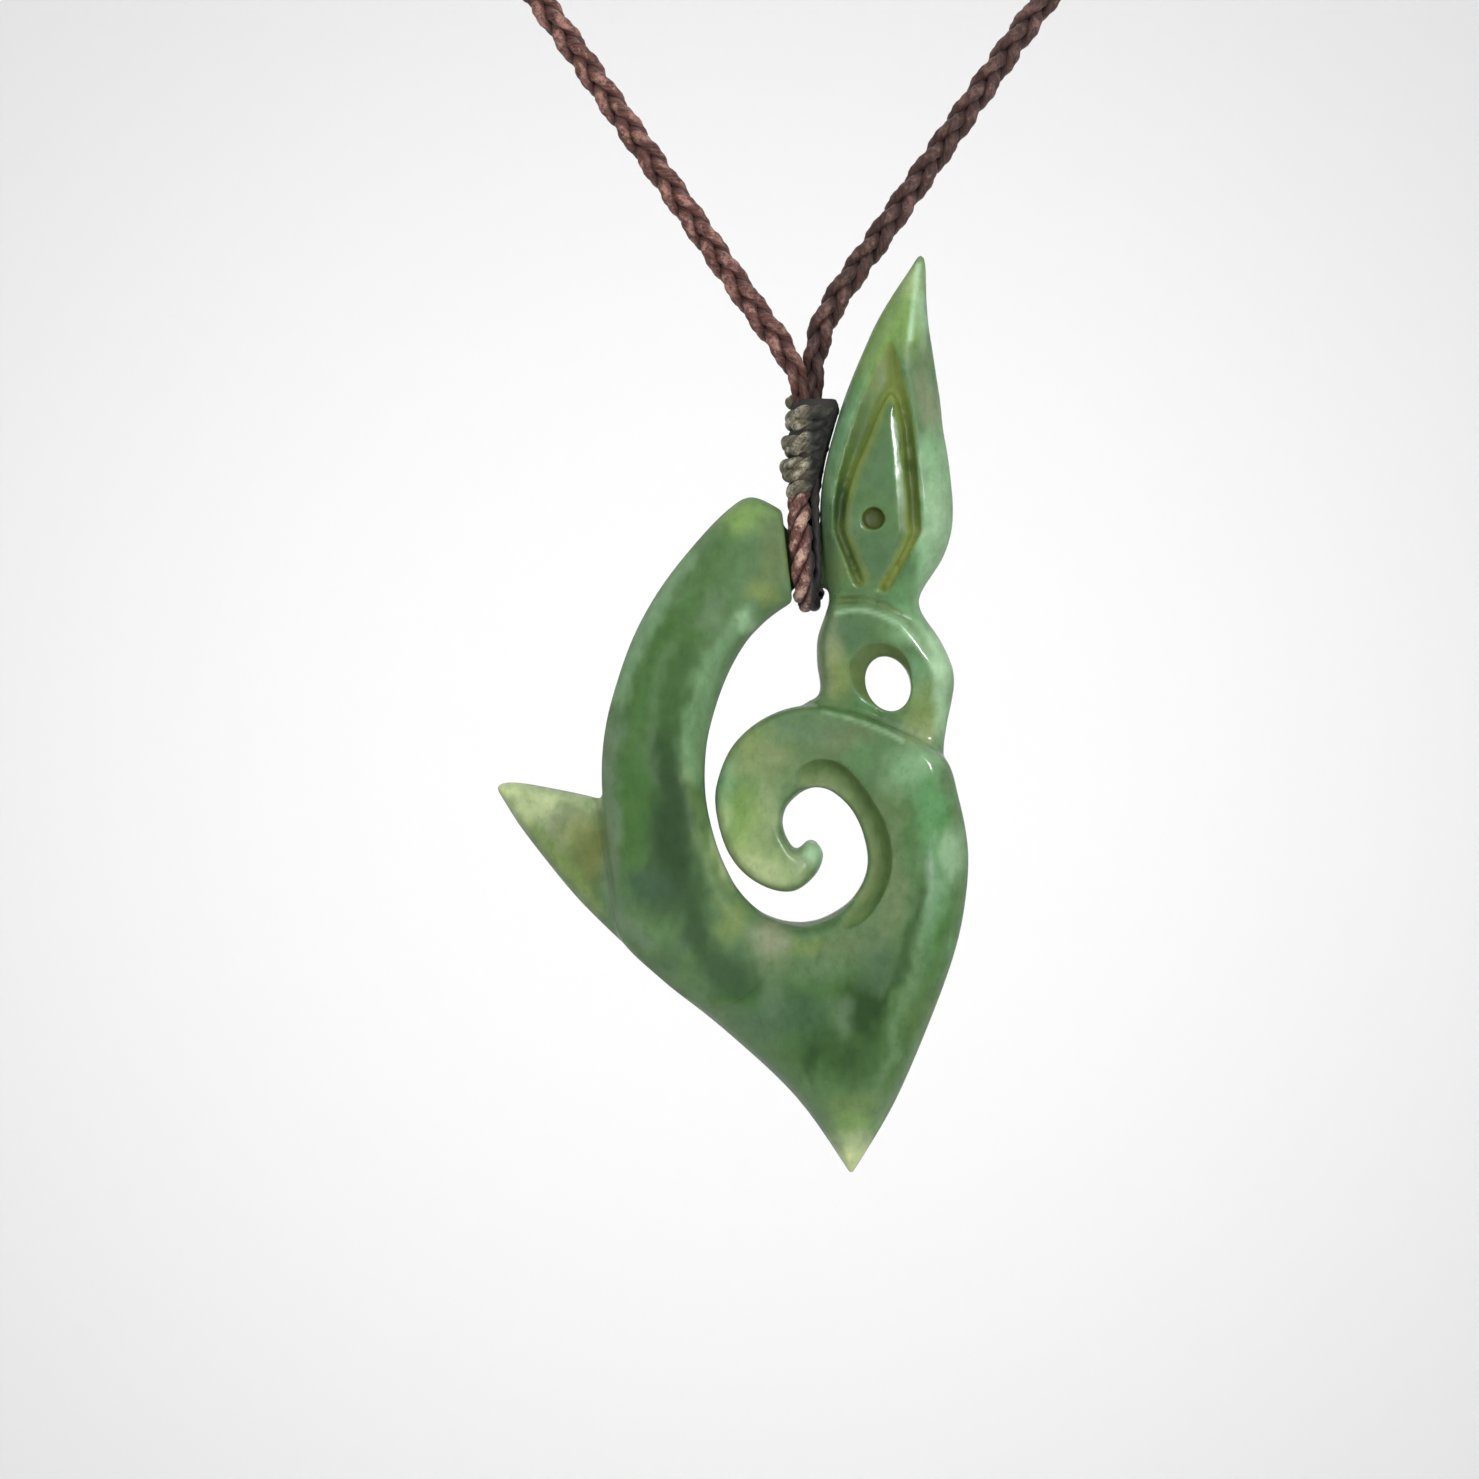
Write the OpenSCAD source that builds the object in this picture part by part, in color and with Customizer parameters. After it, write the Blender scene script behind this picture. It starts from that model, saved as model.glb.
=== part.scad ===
// Carved greenstone manaia pendant, hung by a cord loop from a plaited neck cord.
// X runs to the viewer's right, Y to the back and Z up. The front faces -Y.
// The origin is the point of the nape where the neck cord rests.

/* [Stone] */
// Height of the stone, from the tip of the head to the bottom point
stone_h = 70; // [64:1:78]
// Thickness of the arm and the body
stone_t = 7.5; // [7:0.1:8.2]
// Depth of the grooves round the face
groove_depth = 0.9; // [0.6:0.1:1.2]
// Length of the slanted hole in the neck
hole_l = 4.3; // [3.6:0.1:4.6]
// Width of the slanted hole in the neck
hole_w = 3.4; // [2.8:0.1:3.8]
// Diameter of the eye
eye_d = 1.95; // [1.5:0.05:2.2]

/* [Hanging loop] */
// Diameter of the twisted cord of the hanging loop
loop_d = 1.7; // [1.4:0.1:1.8]
// Clearance between the hanging loop and the bridge of the stone
loop_gap = 0.3; // [0.2:0.05:0.5]

/* [Neck cord] */
// Diameter of the plaited neck cord
cord_d = 2.1; // [1.8:0.1:2.1]
// Diameter of the knot at the nape
knot_d = 4.8; // [4.4:0.2:5.6]
// Length of the knot at the nape
knot_l = 9; // [7:1:12]

/* [Hidden] */

// The tables are drawn for a stone of this height, and k brings them to the height asked for.
drawn_h = 70.1;
k = stone_h / drawn_h;

// Place of the stone's own origin, and height at which the neck cords enter the binding.
hang_x = 1.5;
hang_y = -112;
cord_foot_z = -134;
binding_top = 12.5;
hang = [hang_x, hang_y, cord_foot_z - binding_top * k];

// The bridge is round below, about the line that the loop turns round.
swing_z = -0.7;
bridge_r = 1.45;

// Band of the stone from the knob of the curl, round the curl, the body and the bottom point,
// up the arm to its end. Each row is a cross-section from the outer edge to the inner edge.
// Columns: outer x, outer z, inner x, inner z, thickness over stone_t, fullness of the section
curl_and_body = [
    [0.80, -22.15, 0.35, -21.50, 0.20, 2.0],
    [0.85, -22.75, -0.20, -21.30, 0.42, 2.2],
    [0.25, -24.05, -0.90, -21.90, 0.62, 2.4],
    [-1.30, -25.25, -1.25, -22.10, 0.72, 2.4],
    [-3.20, -25.10, -1.70, -21.60, 0.76, 2.4],
    [-5.20, -23.90, -2.10, -20.80, 0.78, 2.5],
    [-6.60, -21.90, -2.25, -20.00, 0.80, 2.6],
    [-7.35, -19.00, -2.15, -19.30, 0.82, 2.6],
    [-7.20, -16.80, -1.90, -18.75, 0.84, 2.6],
    [-6.00, -14.10, -1.20, -18.00, 0.85, 2.8],
    [-3.60, -12.05, -0.40, -17.50, 0.87, 3.0],
    [-0.50, -11.10, 0.40, -17.35, 0.90, 3.4],
    [3.00, -11.60, 1.40, -17.60, 0.92, 3.4],
    [6.60, -13.00, 2.50, -18.45, 0.93, 3.2],
    [10.05, -15.00, 3.30, -19.50, 0.94, 2.8],
    [11.20, -18.20, 3.90, -20.90, 0.94, 2.6],
    [11.90, -22.00, 4.25, -22.70, 0.96, 2.5],
    [11.75, -25.60, 4.00, -24.30, 0.98, 2.5],
    [11.00, -29.50, 3.10, -25.80, 1.00, 2.4],
    [9.30, -34.40, 2.00, -26.70, 1.00, 2.2],
    [6.30, -41.40, 0.60, -27.40, 1.00, 1.9],
    [3.00, -46.95, -0.70, -27.65, 1.00, 1.6]];
arm = [
    [3.00, -46.95, -0.70, -27.65, 1.00, 1.6],
    [-1.20, -41.00, -2.00, -27.55, 1.00, 1.9],
    [-6.80, -35.75, -3.20, -27.20, 1.00, 2.2],
    [-11.50, -32.00, -4.20, -26.65, 1.00, 2.4],
    [-14.80, -28.60, -5.30, -25.60, 1.00, 2.6],
    [-15.20, -24.80, -6.30, -24.10, 1.00, 2.8],
    [-15.75, -20.60, -7.35, -21.60, 1.00, 2.8],
    [-16.05, -16.50, -8.10, -18.30, 1.00, 2.8],
    [-15.80, -13.00, -8.15, -15.10, 1.00, 2.7],
    [-15.00, -9.70, -7.70, -12.40, 1.00, 2.6],
    [-13.60, -5.80, -6.60, -9.10, 1.00, 2.6],
    [-11.60, -2.20, -5.20, -6.50, 0.98, 2.6],
    [-9.00, 1.15, -3.85, -4.95, 0.95, 2.6],
    [-6.50, 3.75, -2.70, -4.00, 0.92, 2.6],
    [-4.60, 4.78, -1.95, -3.50, 0.89, 2.6],
    [-2.34, 3.76, -1.55, -3.20, 0.84, 2.6]];

// Head and neck, cut level. Columns: z, left x, right x, thickness over stone_t, fullness
head_and_neck = [
    [23.15, 8.15, 8.55, 0.08, 2.0],
    [22.20, 7.45, 8.70, 0.26, 2.0],
    [20.00, 6.00, 8.75, 0.46, 2.0],
    [18.00, 4.85, 8.90, 0.60, 2.1],
    [16.00, 3.95, 9.20, 0.71, 2.2],
    [14.00, 3.10, 9.50, 0.79, 2.3],
    [12.00, 2.35, 9.80, 0.85, 2.4],
    [10.00, 1.75, 10.00, 0.89, 2.5],
    [8.00, 1.20, 10.35, 0.92, 2.5],
    [6.00, 0.80, 10.60, 0.94, 2.5],
    [4.00, 0.62, 10.75, 0.95, 2.5],
    [2.00, 0.68, 10.60, 0.94, 2.5],
    [0.00, 0.95, 9.90, 0.90, 2.5],
    [-2.00, 1.22, 8.60, 0.80, 2.5],
    [-3.10, 1.30, 8.15, 0.66, 2.6],
    [-4.20, 1.00, 8.45, 0.76, 2.6],
    [-6.00, 0.42, 9.70, 0.80, 2.6],
    [-8.00, 0.40, 10.65, 0.78, 2.6],
    [-9.60, 0.48, 10.85, 0.70, 2.5],
    [-11.00, -0.20, 10.62, 0.58, 2.5],
    [-12.50, 1.00, 10.30, 0.54, 2.5],
    [-14.60, 5.00, 10.05, 0.52, 2.5],
    [-16.60, 7.00, 10.25, 0.50, 2.5]];

// Barb behind the arm, cut upright. Columns: x, bottom z, top z, thickness over stone_t, fullness
barb_rows = [
    [-23.95, -17.55, -17.20, 0.10, 2.0],
    [-23.40, -18.60, -16.98, 0.24, 2.0],
    [-22.20, -20.45, -17.02, 0.34, 2.0],
    [-20.00, -23.30, -17.40, 0.42, 2.2],
    [-18.00, -25.70, -17.80, 0.47, 2.4],
    [-16.00, -27.75, -18.30, 0.50, 2.5],
    [-13.50, -30.10, -19.20, 0.52, 2.6]];

// Saddle that joins arm and head under the loop, and rises to a web beside the head.
// Columns: x, top z, half thickness
bridge_rows = [
    [-4.00, 2.60, 1.45],
    [-2.20, 2.40, 1.45],
    [-0.60, 2.10, 1.45],
    [0.35, 2.30, 1.45],
    [0.80, 3.50, 1.40],
    [1.20, 4.80, 1.30],
    [2.80, 5.60, 1.20]];

// Outline of the face inside its groove. Columns: x, z
face_outline = [
    [6.05, 12.80], [4.70, 10.40], [3.40, 7.60], [2.70, 5.70], [2.30, 3.80], [2.25, 2.20],
    [4.00, -1.90], [5.30, -2.60], [7.20, 0.80], [7.60, 2.00], [7.45, 5.00], [7.10, 9.50]];
// Outline outside the groove, which opens above the face into a hollow point. Columns: x, z
groove_outline = [
    [6.05, 16.60], [4.60, 12.60], [3.30, 9.40], [2.30, 7.00], [1.70, 4.80], [1.60, 2.10],
    [3.60, -1.90], [5.30, -2.60], [8.10, 1.10], [8.35, 2.20], [8.15, 5.40], [7.60, 10.30]];
eye_at = [4.65, 3.1];
hole_at = [5.8, -9.45];
hole_lean = 20;

// Depths as shares of stone_t from the middle plane: the skin of the face, a level clear above the
// stone, the rim and the foot of the hole's slanted wall, and the rim of the cove inside the curl.
face_level = 0.475;
clear_level = 0.6;
hole_rim_level = 0.42;
hole_foot_level = 0.12;
cove_rim_level = 0.48;
// How far the cove falls below its rim, at the foot of its wall and at the edge of the curl, and
// how far across it that foot lies.
cove_foot_drop = 0.17;
cove_edge_drop = 0.30;
cove_foot_at = 0.25;
// The slanted wall of the hole: middle of its rim, rim over hole_l and foot over hole_w.
hole_bevel_at = [5.2, -8.9];
hole_rim_size = 1.35;
hole_foot_size = 0.75;

// Cove inside the curl, which runs out at both ends.
// Columns: crease x, crease z, edge x, edge z, share of the full depth
curl_cove = [
    [-1.60, -16.75, -0.90, -17.60, 0.05],
    [-0.40, -15.90, -0.10, -17.50, 0.55],
    [0.80, -15.25, 0.70, -17.50, 0.90],
    [2.10, -15.50, 1.60, -17.90, 1.00],
    [3.30, -16.50, 2.30, -18.60, 1.00],
    [4.40, -18.00, 3.00, -19.60, 1.00],
    [5.40, -19.70, 3.50, -20.90, 1.00],
    [5.95, -21.40, 3.80, -22.20, 1.00],
    [6.10, -23.00, 3.90, -23.20, 1.00],
    [5.80, -24.60, 3.60, -24.40, 1.00],
    [5.10, -26.10, 3.00, -25.50, 0.90],
    [4.00, -27.50, 2.20, -26.30, 0.55],
    [2.40, -28.40, 1.20, -27.00, 0.05]];

// Fullness of the binding's sections, which are oval.
binding_fullness = 2;
// Whipping of the binding, a bulge and a waist for each group of turns.
// Columns: z, left x, right x, depth
binding_rows = [
    [5.00, -2.00, 0.38, 3.40],
    [5.60, -2.30, 0.42, 3.60],
    [6.10, -2.10, 0.48, 3.40],
    [6.90, -2.50, 0.62, 3.90],
    [8.00, -2.10, 0.85, 3.60],
    [9.20, -2.35, 1.15, 4.00],
    [10.40, -1.90, 1.40, 3.70],
    [11.50, -2.10, 1.80, 4.20],
    [12.50, -1.75, 1.60, 3.90]];

// Route of the hanging loop, down the front of the bridge, under it and up the back.
// Columns: x, z, and depth as a share of the turn's radius. The x at even steps round the turn.
loop_rows = [
    [-1.20, 5.00, -0.36],
    [-1.20, 4.30, -0.42],
    [-1.15, 3.20, -0.74],
    [-1.05, 2.20, -0.97],
    [-0.95, 1.00, -1.02],
    [-0.80, 0.20, -1.00],
    [-0.70, -0.70, -1.00]];
loop_turn_x = [-0.60, -0.38, -0.12, 0.10, 0.18, 0.22, 0.22];
loop_back_rows = [
    [0.22, -0.70, 1.00],
    [0.20, 0.20, 1.00],
    [0.12, 1.00, 1.02],
    [-0.05, 2.20, 0.97],
    [-0.25, 3.20, 0.74],
    [-0.45, 4.30, 0.42],
    [-0.50, 5.00, 0.36]];

// Route of the right half of the neck cord from the knot at the nape, which the left half mirrors,
// and the last points of each half down to the binding. Columns: x, y, z
side_route = [
    [12, 2.2, 0], [22, -0.5, 0], [33, -5.5, -1], [44, -13, -3], [53, -22.5, -6],
    [60, -34, -11], [63.5, -46, -18], [63.5, -58, -27], [60, -69, -38], [54.5, -78.5, -50],
    [48, -86, -61], [40.5, -93, -72.5], [33, -98.5, -84], [25.5, -102.5, -95],
    [18.2, -105.8, -105], [12.7, -108, -113], [7.2, -110, -121]];
right_end = [[3.1, -110.9, -127], [1.6, -111.1, -130.5], [1.85, -111.2, -132.8], [1.9, -111.2, -134]];
left_end = [[-3.1, -111.6, -127], [-0.7, -112.4, -130.5], [0.2, -112.8, -132.8], [0.3, -112.8, -134]];

section_sides = 18;
small_sides = 12;
tube_sides = 8;
loop_sides = 10;
knot_wraps = 5;
binding_sides = 14;
round_facets = 28;
ring_steps = 2;
binding_steps = 3;

function unit(v) = v / norm(v);
function sign_power(v, e) = v < 0 ? -pow(-v, e) : pow(v, e);

// Point at share u between rows b and c, on a smooth curve through all rows.
function spline(a, b, c, d, u) =
    (2 * b + (c - a) * u + (2 * a - 5 * b + 4 * c - d) * u * u
        + (3 * b - a - 3 * c + d) * u * u * u) / 2;
function smooth_rows(rows, steps) = let(last = len(rows) - 1) [
    for (i = [0:last - 1], s = [0:steps - 1])
        spline(rows[max(i - 1, 0)], rows[i], rows[i + 1], rows[min(i + 2, last)], s / steps),
    rows[last]];

// Rounded section between two edge points, t thick. A higher fullness is squarer.
function section(p, q, t, fullness, sides) = let(e = 2 / fullness) [
    for (j = [0:sides - 1]) let(
        a = 360 * j / sides,
        at = (p + q) / 2 + (p - q) / 2 * sign_power(cos(a), e))
        [at[0], t / 2 * sign_power(sin(a), e), at[1]]];

// Solid through a list of rings that have the same number of points.
module loft(rings) {
    n = len(rings[0]);
    m = len(rings);
    sides = [for (i = [0:m - 2], j = [0:n - 1]) let(a = i * n + j, b = i * n + (j + 1) % n)
        each [[a, b, b + n], [a, b + n, a + n]]];
    polyhedron([for (r = rings) each r], concat(
        sides,
        [[for (j = [n - 1:-1:0]) j]],
        [[for (j = [0:n - 1]) (m - 1) * n + j]]));
}

module band(rows) {
    loft([for (r = smooth_rows(rows, ring_steps))
        section([r[0], r[1]], [r[2], r[3]], r[4] * stone_t, r[5], section_sides)]);
}

module head_shape() {
    loft([for (r = smooth_rows(head_and_neck, ring_steps))
        section([r[2], r[0]], [r[1], r[0]], r[3] * stone_t, r[4], section_sides)]);
}

module barb_shape() {
    loft([for (r = smooth_rows(barb_rows, ring_steps))
        section([r[0], r[2]], [r[0], r[1]], r[3] * stone_t, r[4], small_sides)]);
}

// The bridge is a half round below the line that the loop turns round, and a low arch above it.
module bridge_shape() {
    loft([for (r = smooth_rows(bridge_rows, ring_steps)) [
        for (j = [0:2 * small_sides - 1]) let(
            a = 180 * j / small_sides,
            rise = sin(a) > 0 ? r[1] - swing_z : bridge_r)
            [r[0], -r[2] * cos(a), swing_z + rise * sin(a)]]]);
}

// What stands on the plane y = 0 is repeated on the front and the back.
module both_faces() {
    children();
    mirror([0, 1, 0]) children();
}

// Cutter with a plan drawn in x and z, from the depth y outwards on the front.
module front_cut(y) {
    translate([0, -y, 0]) rotate([90, 0, 0]) linear_extrude(stone_t) children();
}

module face_groove() {
    front_cut(face_level * stone_t - groove_depth) difference() {
        polygon(groove_outline);
        polygon(face_outline);
    }
}

module neck_hole() {
    translate([hole_at[0], 0, hole_at[1]]) rotate([0, -hole_lean, 0])
        scale([hole_w / hole_l, 1, 1]) rotate([90, 0, 0])
            cylinder(d = hole_l, h = 2 * stone_t, center = true, $fn = round_facets);
}

// Slanted wall of the hole, widest at its upper left.
module hole_bevel() {
    skin = 0.1;
    hull() {
        translate([hole_bevel_at[0], -hole_rim_level * stone_t, hole_bevel_at[1]]) rotate([90, 0, 0])
            cylinder(d = hole_rim_size * hole_l, h = skin, $fn = round_facets);
        translate([hole_at[0], -hole_foot_level * stone_t, hole_at[1]]) rotate([90, 0, 0])
            cylinder(d = hole_foot_size * hole_w, h = skin, $fn = round_facets);
    }
}

// Cutter of the cove inside the curl, with a steep wall at the crease and a floor that falls away.
module cove_cut() {
    loft([for (r = curl_cove) let(
        crease = [r[0], r[1]],
        edge = [r[2], r[3]],
        foot = crease + cove_foot_at * (edge - crease)) [
        [crease[0], -clear_level * stone_t, crease[1]],
        [foot[0], -(cove_rim_level - cove_foot_drop * r[4]) * stone_t, foot[1]],
        [edge[0], -(cove_rim_level - cove_edge_drop * r[4]) * stone_t, edge[1]],
        [edge[0], -clear_level * stone_t, edge[1]]]]);
}

module eye_cut() {
    translate([eye_at[0], 0, eye_at[1]]) front_cut(face_level * stone_t - groove_depth)
        circle(d = eye_d, $fn = 20);
}

module stone() {
    color("seagreen") translate(hang) resize([0, 0, stone_h], auto = true) difference() {
        union() {
            band(curl_and_body);
            band(arm);
            head_shape();
            barb_shape();
            bridge_shape();
        }
        neck_hole();
        both_faces() {
            face_groove();
            hole_bevel();
            cove_cut();
            eye_cut();
        }
    }
}

// Rings square to a route, each turned as little as possible from the one before. The ways at
// the two ends are given, so that the end faces lie flat on what they meet.
function tangents(p, first, last) = concat(
    [first], [for (i = [1:len(p) - 2]) unit(p[i + 1] - p[i - 1])], [last]);
function carried(t, from, i = 0) = i == len(t) ? [] : let(
    side = unit(from - (from * t[i]) * t[i]))
    concat([side], carried(t, side, i + 1));
module tube(route, d, sides, start_way, end_way, first_side) {
    t = tangents(route, start_way, end_way);
    u = carried(t, first_side);
    loft([for (i = [0:len(route) - 1]) let(v = cross(t[i], u[i])) [
        for (j = [0:sides - 1]) let(a = 360 * j / sides)
            route[i] + d / 2 * (cos(a) * u[i] - sin(a) * v)]]);
}

function loop_point(r, turn_r) = [r[0], r[2] * turn_r, r[1]];
module hanging_loop() {
    turn_r = bridge_r + loop_gap + loop_d / (2 * k);
    steps = len(loop_turn_x) + 1;
    under = [for (i = [1:steps - 1]) let(a = 180 * i / steps)
        [loop_turn_x[i - 1], -turn_r * cos(a), swing_z - turn_r * sin(a)]];
    route = concat(
        [for (r = smooth_rows(loop_rows, ring_steps)) loop_point(r, turn_r)],
        under,
        [for (r = smooth_rows(loop_back_rows, ring_steps)) loop_point(r, turn_r)]);
    color("saddlebrown") translate(hang) tube(
        [for (p = route) k * p], loop_d, loop_sides, [0, 0, -1], [0, 0, 1], [1, 0, 0]);
}

module binding() {
    color("dimgray") translate(hang) scale(k) loft([for (r = smooth_rows(binding_rows, binding_steps))
        section([r[1], r[0]], [r[2], r[0]], r[3], binding_fullness, binding_sides)]);
}

module half_cord(way, end_points) {
    route = concat(
        [[way * knot_l / 2, knot_d / 2, 0]],
        [for (p = side_route) [way * p[0], p[1], p[2]]],
        end_points);
    color("sienna") tube(
        smooth_rows(route, ring_steps), cord_d, tube_sides, [way, 0, 0], [0, 0, -1], [0, 0, 1]);
}
module neck_cord_right() {
    half_cord(1, right_end);
}
module neck_cord_left() {
    half_cord(-1, left_end);
}

// Plain wound knot, lying along the cord.
module nape_knot() {
    wrap = knot_l / knot_wraps;
    color("saddlebrown") translate([0, knot_d / 2, 0]) rotate([0, 90, 0])
        rotate_extrude($fn = 48) intersection() {
            translate([0, -knot_l / 2]) square([knot_d / 2, knot_l]);
            union() {
                translate([0, -knot_l / 2]) square([knot_d / 2 - wrap / 4, knot_l]);
                for (i = [0:knot_wraps - 1])
                    translate([knot_d / 2 - wrap / 2, (i + 0.5) * wrap - knot_l / 2]) circle(d = wrap, $fn = 24);
            }
        }
}

stone();
hanging_loop();
binding();
neck_cord_left();
neck_cord_right();
nape_knot();
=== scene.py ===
"""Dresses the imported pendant: carved greenstone, plaited cord, twisted loop, binding and knot.

Tables are in millimetres, x to the right and z up. Those of the stone start from the stone's own
origin, where it hangs, and those of the neck cord from the origin of the part.
"""
import math

import bmesh
import bpy
import numpy as np
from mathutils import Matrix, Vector, noise
from mathutils.bvhtree import BVHTree


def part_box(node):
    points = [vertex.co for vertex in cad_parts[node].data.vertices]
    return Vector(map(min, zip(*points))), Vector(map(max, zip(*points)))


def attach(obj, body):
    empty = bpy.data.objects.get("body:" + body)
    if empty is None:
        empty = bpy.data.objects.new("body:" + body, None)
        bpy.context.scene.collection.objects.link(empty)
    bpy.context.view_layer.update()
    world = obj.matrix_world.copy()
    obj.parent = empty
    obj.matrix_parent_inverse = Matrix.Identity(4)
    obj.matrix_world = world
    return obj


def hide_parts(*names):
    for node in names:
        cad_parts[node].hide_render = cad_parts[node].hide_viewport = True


bl_info = {
    "name": "Greenstone Pendant",
    "version": (1, 0, 0),
    "blender": (4, 5, 0),
    "location": "View3D > Sidebar > Pendant",
    "description": "Carved stone, plaited cord, twisted loop, wound binding and knot on the packed part",
    "category": "Object",
}

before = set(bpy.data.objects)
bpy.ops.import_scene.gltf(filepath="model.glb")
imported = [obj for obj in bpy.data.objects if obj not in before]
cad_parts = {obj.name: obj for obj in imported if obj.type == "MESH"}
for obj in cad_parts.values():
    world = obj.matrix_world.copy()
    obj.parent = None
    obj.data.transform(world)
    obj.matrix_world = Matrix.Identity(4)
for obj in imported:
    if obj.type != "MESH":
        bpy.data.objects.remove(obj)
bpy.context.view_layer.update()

MM = 0.001

# The stone as drawn reaches from its bottom point to the tip of the head, and left to the barb.
DRAWN_TOP = 23.15
DRAWN_BOTTOM = -46.95
DRAWN_LEFT = -23.95
stone_low, stone_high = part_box("stone")
DRAWN_UNIT = (stone_high.z - stone_low.z) / (DRAWN_TOP - DRAWN_BOTTOM)
HANG = Vector((
    stone_low.x - DRAWN_LEFT * DRAWN_UNIT,
    (stone_low.y + stone_high.y) / 2,
    stone_high.z - DRAWN_TOP * DRAWN_UNIT))

# Band of the stone from the knob of the curl, round the curl, the body and the bottom point, where the
# arm goes on.
# Columns: outer x, outer z, inner x, inner z, thickness share, outer bevel, inner bevel, wall share
CURL_AND_BODY = (
    (0.8, -22.15, 0.35, -21.5, 0.22, 0.38, 0.38, 0.2),
    (0.85, -22.75, -0.2, -21.3, 0.46, 0.6, 0.6, 0.36),
    (0.25, -24.05, -0.9, -21.9, 0.62, 0.75, 0.65, 0.5),
    (-1.3, -25.25, -1.25, -22.1, 0.71, 0.75, 0.65, 0.58),
    (-3.2, -25.1, -1.7, -21.6, 0.76, 0.75, 0.65, 0.62),
    (-5.2, -23.9, -2.1, -20.8, 0.78, 0.8, 0.65, 0.64),
    (-6.6, -21.9, -2.25, -20, 0.8, 0.85, 0.7, 0.64),
    (-7.35, -19, -2.15, -19.3, 0.82, 0.9, 0.75, 0.64),
    (-7.2, -16.8, -1.9, -18.75, 0.84, 0.9, 0.8, 0.64),
    (-6, -14.1, -1.2, -18, 0.85, 0.85, 0.8, 0.66),
    (-3.6, -12.05, -0.4, -17.5, 0.87, 0.75, 0.85, 0.68),
    (-0.5, -11.1, 0.4, -17.35, 0.9, 0.7, 0.9, 0.7),
    (3, -11.6, 1.4, -17.6, 0.92, 0.6, 1.2, 0.7),
    (6.6, -13, 2.5, -18.45, 0.93, 0.6, 1.2, 0.7),
    (10.05, -15, 3.3, -19.5, 0.94, 1.3, 1.2, 0.5),
    (11.2, -18.2, 3.9, -20.9, 0.94, 2.6, 1.2, 0.36),
    (11.9, -22, 4.25, -22.7, 0.96, 3.5, 1.2, 0.3),
    (11.75, -25.6, 4, -24.3, 0.98, 3.2, 1.2, 0.3),
    (11, -29.5, 3.1, -25.8, 1, 3, 1.2, 0.3),
    (9.3, -34.4, 2, -26.7, 1, 2.9, 1.3, 0.28),
    (6.3, -41.4, 0.6, -27.4, 1, 3, 1.4, 0.2),
    (3, -46.95, -0.7, -27.65, 1, 9, 1.5, 0.12))
ARM = (
    CURL_AND_BODY[-1],
    (-1.2, -41, -2, -27.55, 1, 3.8, 1.5, 0.22),
    (-6.8, -35.75, -3.2, -27.2, 1, 2.8, 1.6, 0.3),
    (-11.5, -32, -4.2, -26.65, 1, 2.6, 1.7, 0.34),
    (-14.8, -28.6, -5.3, -25.6, 1, 2.3, 1.8, 0.5),
    (-15.2, -24.8, -6.3, -24.1, 1, 2.1, 1.8, 0.64),
    (-15.75, -20.6, -7.35, -21.6, 1, 2.1, 1.8, 0.64),
    (-16.05, -16.5, -8.1, -18.3, 1, 2.2, 1.8, 0.5),
    (-15.8, -13, -8.15, -15.1, 1, 2.3, 1.8, 0.34),
    (-15, -9.7, -7.7, -12.4, 1, 2.4, 1.8, 0.3),
    (-13.6, -5.8, -6.6, -9.1, 1, 2.5, 1.9, 0.3),
    (-11.6, -2.2, -5.2, -6.5, 0.98, 2.6, 2, 0.3),
    (-9, 1.15, -3.85, -4.95, 0.95, 2.4, 2, 0.32),
    (-6.5, 3.75, -2.7, -4, 0.92, 1.6, 1.8, 0.38),
    (-4.6, 4.78, -1.95, -3.5, 0.89, 0.8, 1.5, 0.55),
    (-2.3, 3.76, -1.5, -3.2, 0.84, 0.6, 1.2, 0.6))

# Head and neck, cut level.
# Columns: z, left x, right x, thickness share, left bevel, right bevel, wall share
HEAD_AND_NECK = (
    (23.3, 8.12, 8.55, 0.08, 0.2, 0.2, 0.1),
    (22.2, 7.45, 8.7, 0.26, 0.62, 0.62, 0.1),
    (20, 6, 8.75, 0.46, 1.6, 1.15, 0.12),
    (18, 4.85, 8.9, 0.6, 2.5, 1.55, 0.14),
    (16, 3.95, 9.2, 0.71, 2.8, 2.2, 0.16),
    (14, 3.1, 9.5, 0.79, 2.5, 2.6, 0.18),
    (12, 2.35, 9.8, 0.85, 2.1, 2.75, 0.2),
    (10, 1.75, 10, 0.89, 1.8, 2.85, 0.22),
    (8, 1.2, 10.35, 0.92, 1.5, 2.9, 0.24),
    (6, 0.8, 10.6, 0.94, 1.3, 3, 0.25),
    (4, 0.62, 10.75, 0.95, 1.2, 3, 0.26),
    (2, 0.68, 10.6, 0.94, 1.2, 2.9, 0.28),
    (0, 0.95, 9.9, 0.9, 1.2, 2.4, 0.3),
    (-2, 1.22, 8.6, 0.84, 1.1, 1.9, 0.34),
    (-3.1, 1.3, 8.15, 0.8, 0.9, 2, 0.36),
    (-4.2, 1, 8.45, 0.8, 0.8, 2.1, 0.38),
    (-6, 0.42, 9.7, 0.8, 0.8, 2.1, 0.34),
    (-8, 0.4, 10.65, 0.76, 0.9, 1.5, 0.32),
    (-9.4, 0.62, 10.85, 0.66, 0.9, 1.1, 0.36),
    (-10.4, 0.46, 10.72, 0.58, 0.8, 1.1, 0.4),
    (-11.1, -0.55, 10.6, 0.55, 0.8, 1.1, 0.4),
    (-12.5, 1, 10.3, 0.5, 0.8, 1.1, 0.4),
    (-14.6, 5, 10.05, 0.48, 0.8, 1.1, 0.4),
    (-16.6, 7, 10.25, 0.46, 0.8, 1.1, 0.4))

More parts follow.
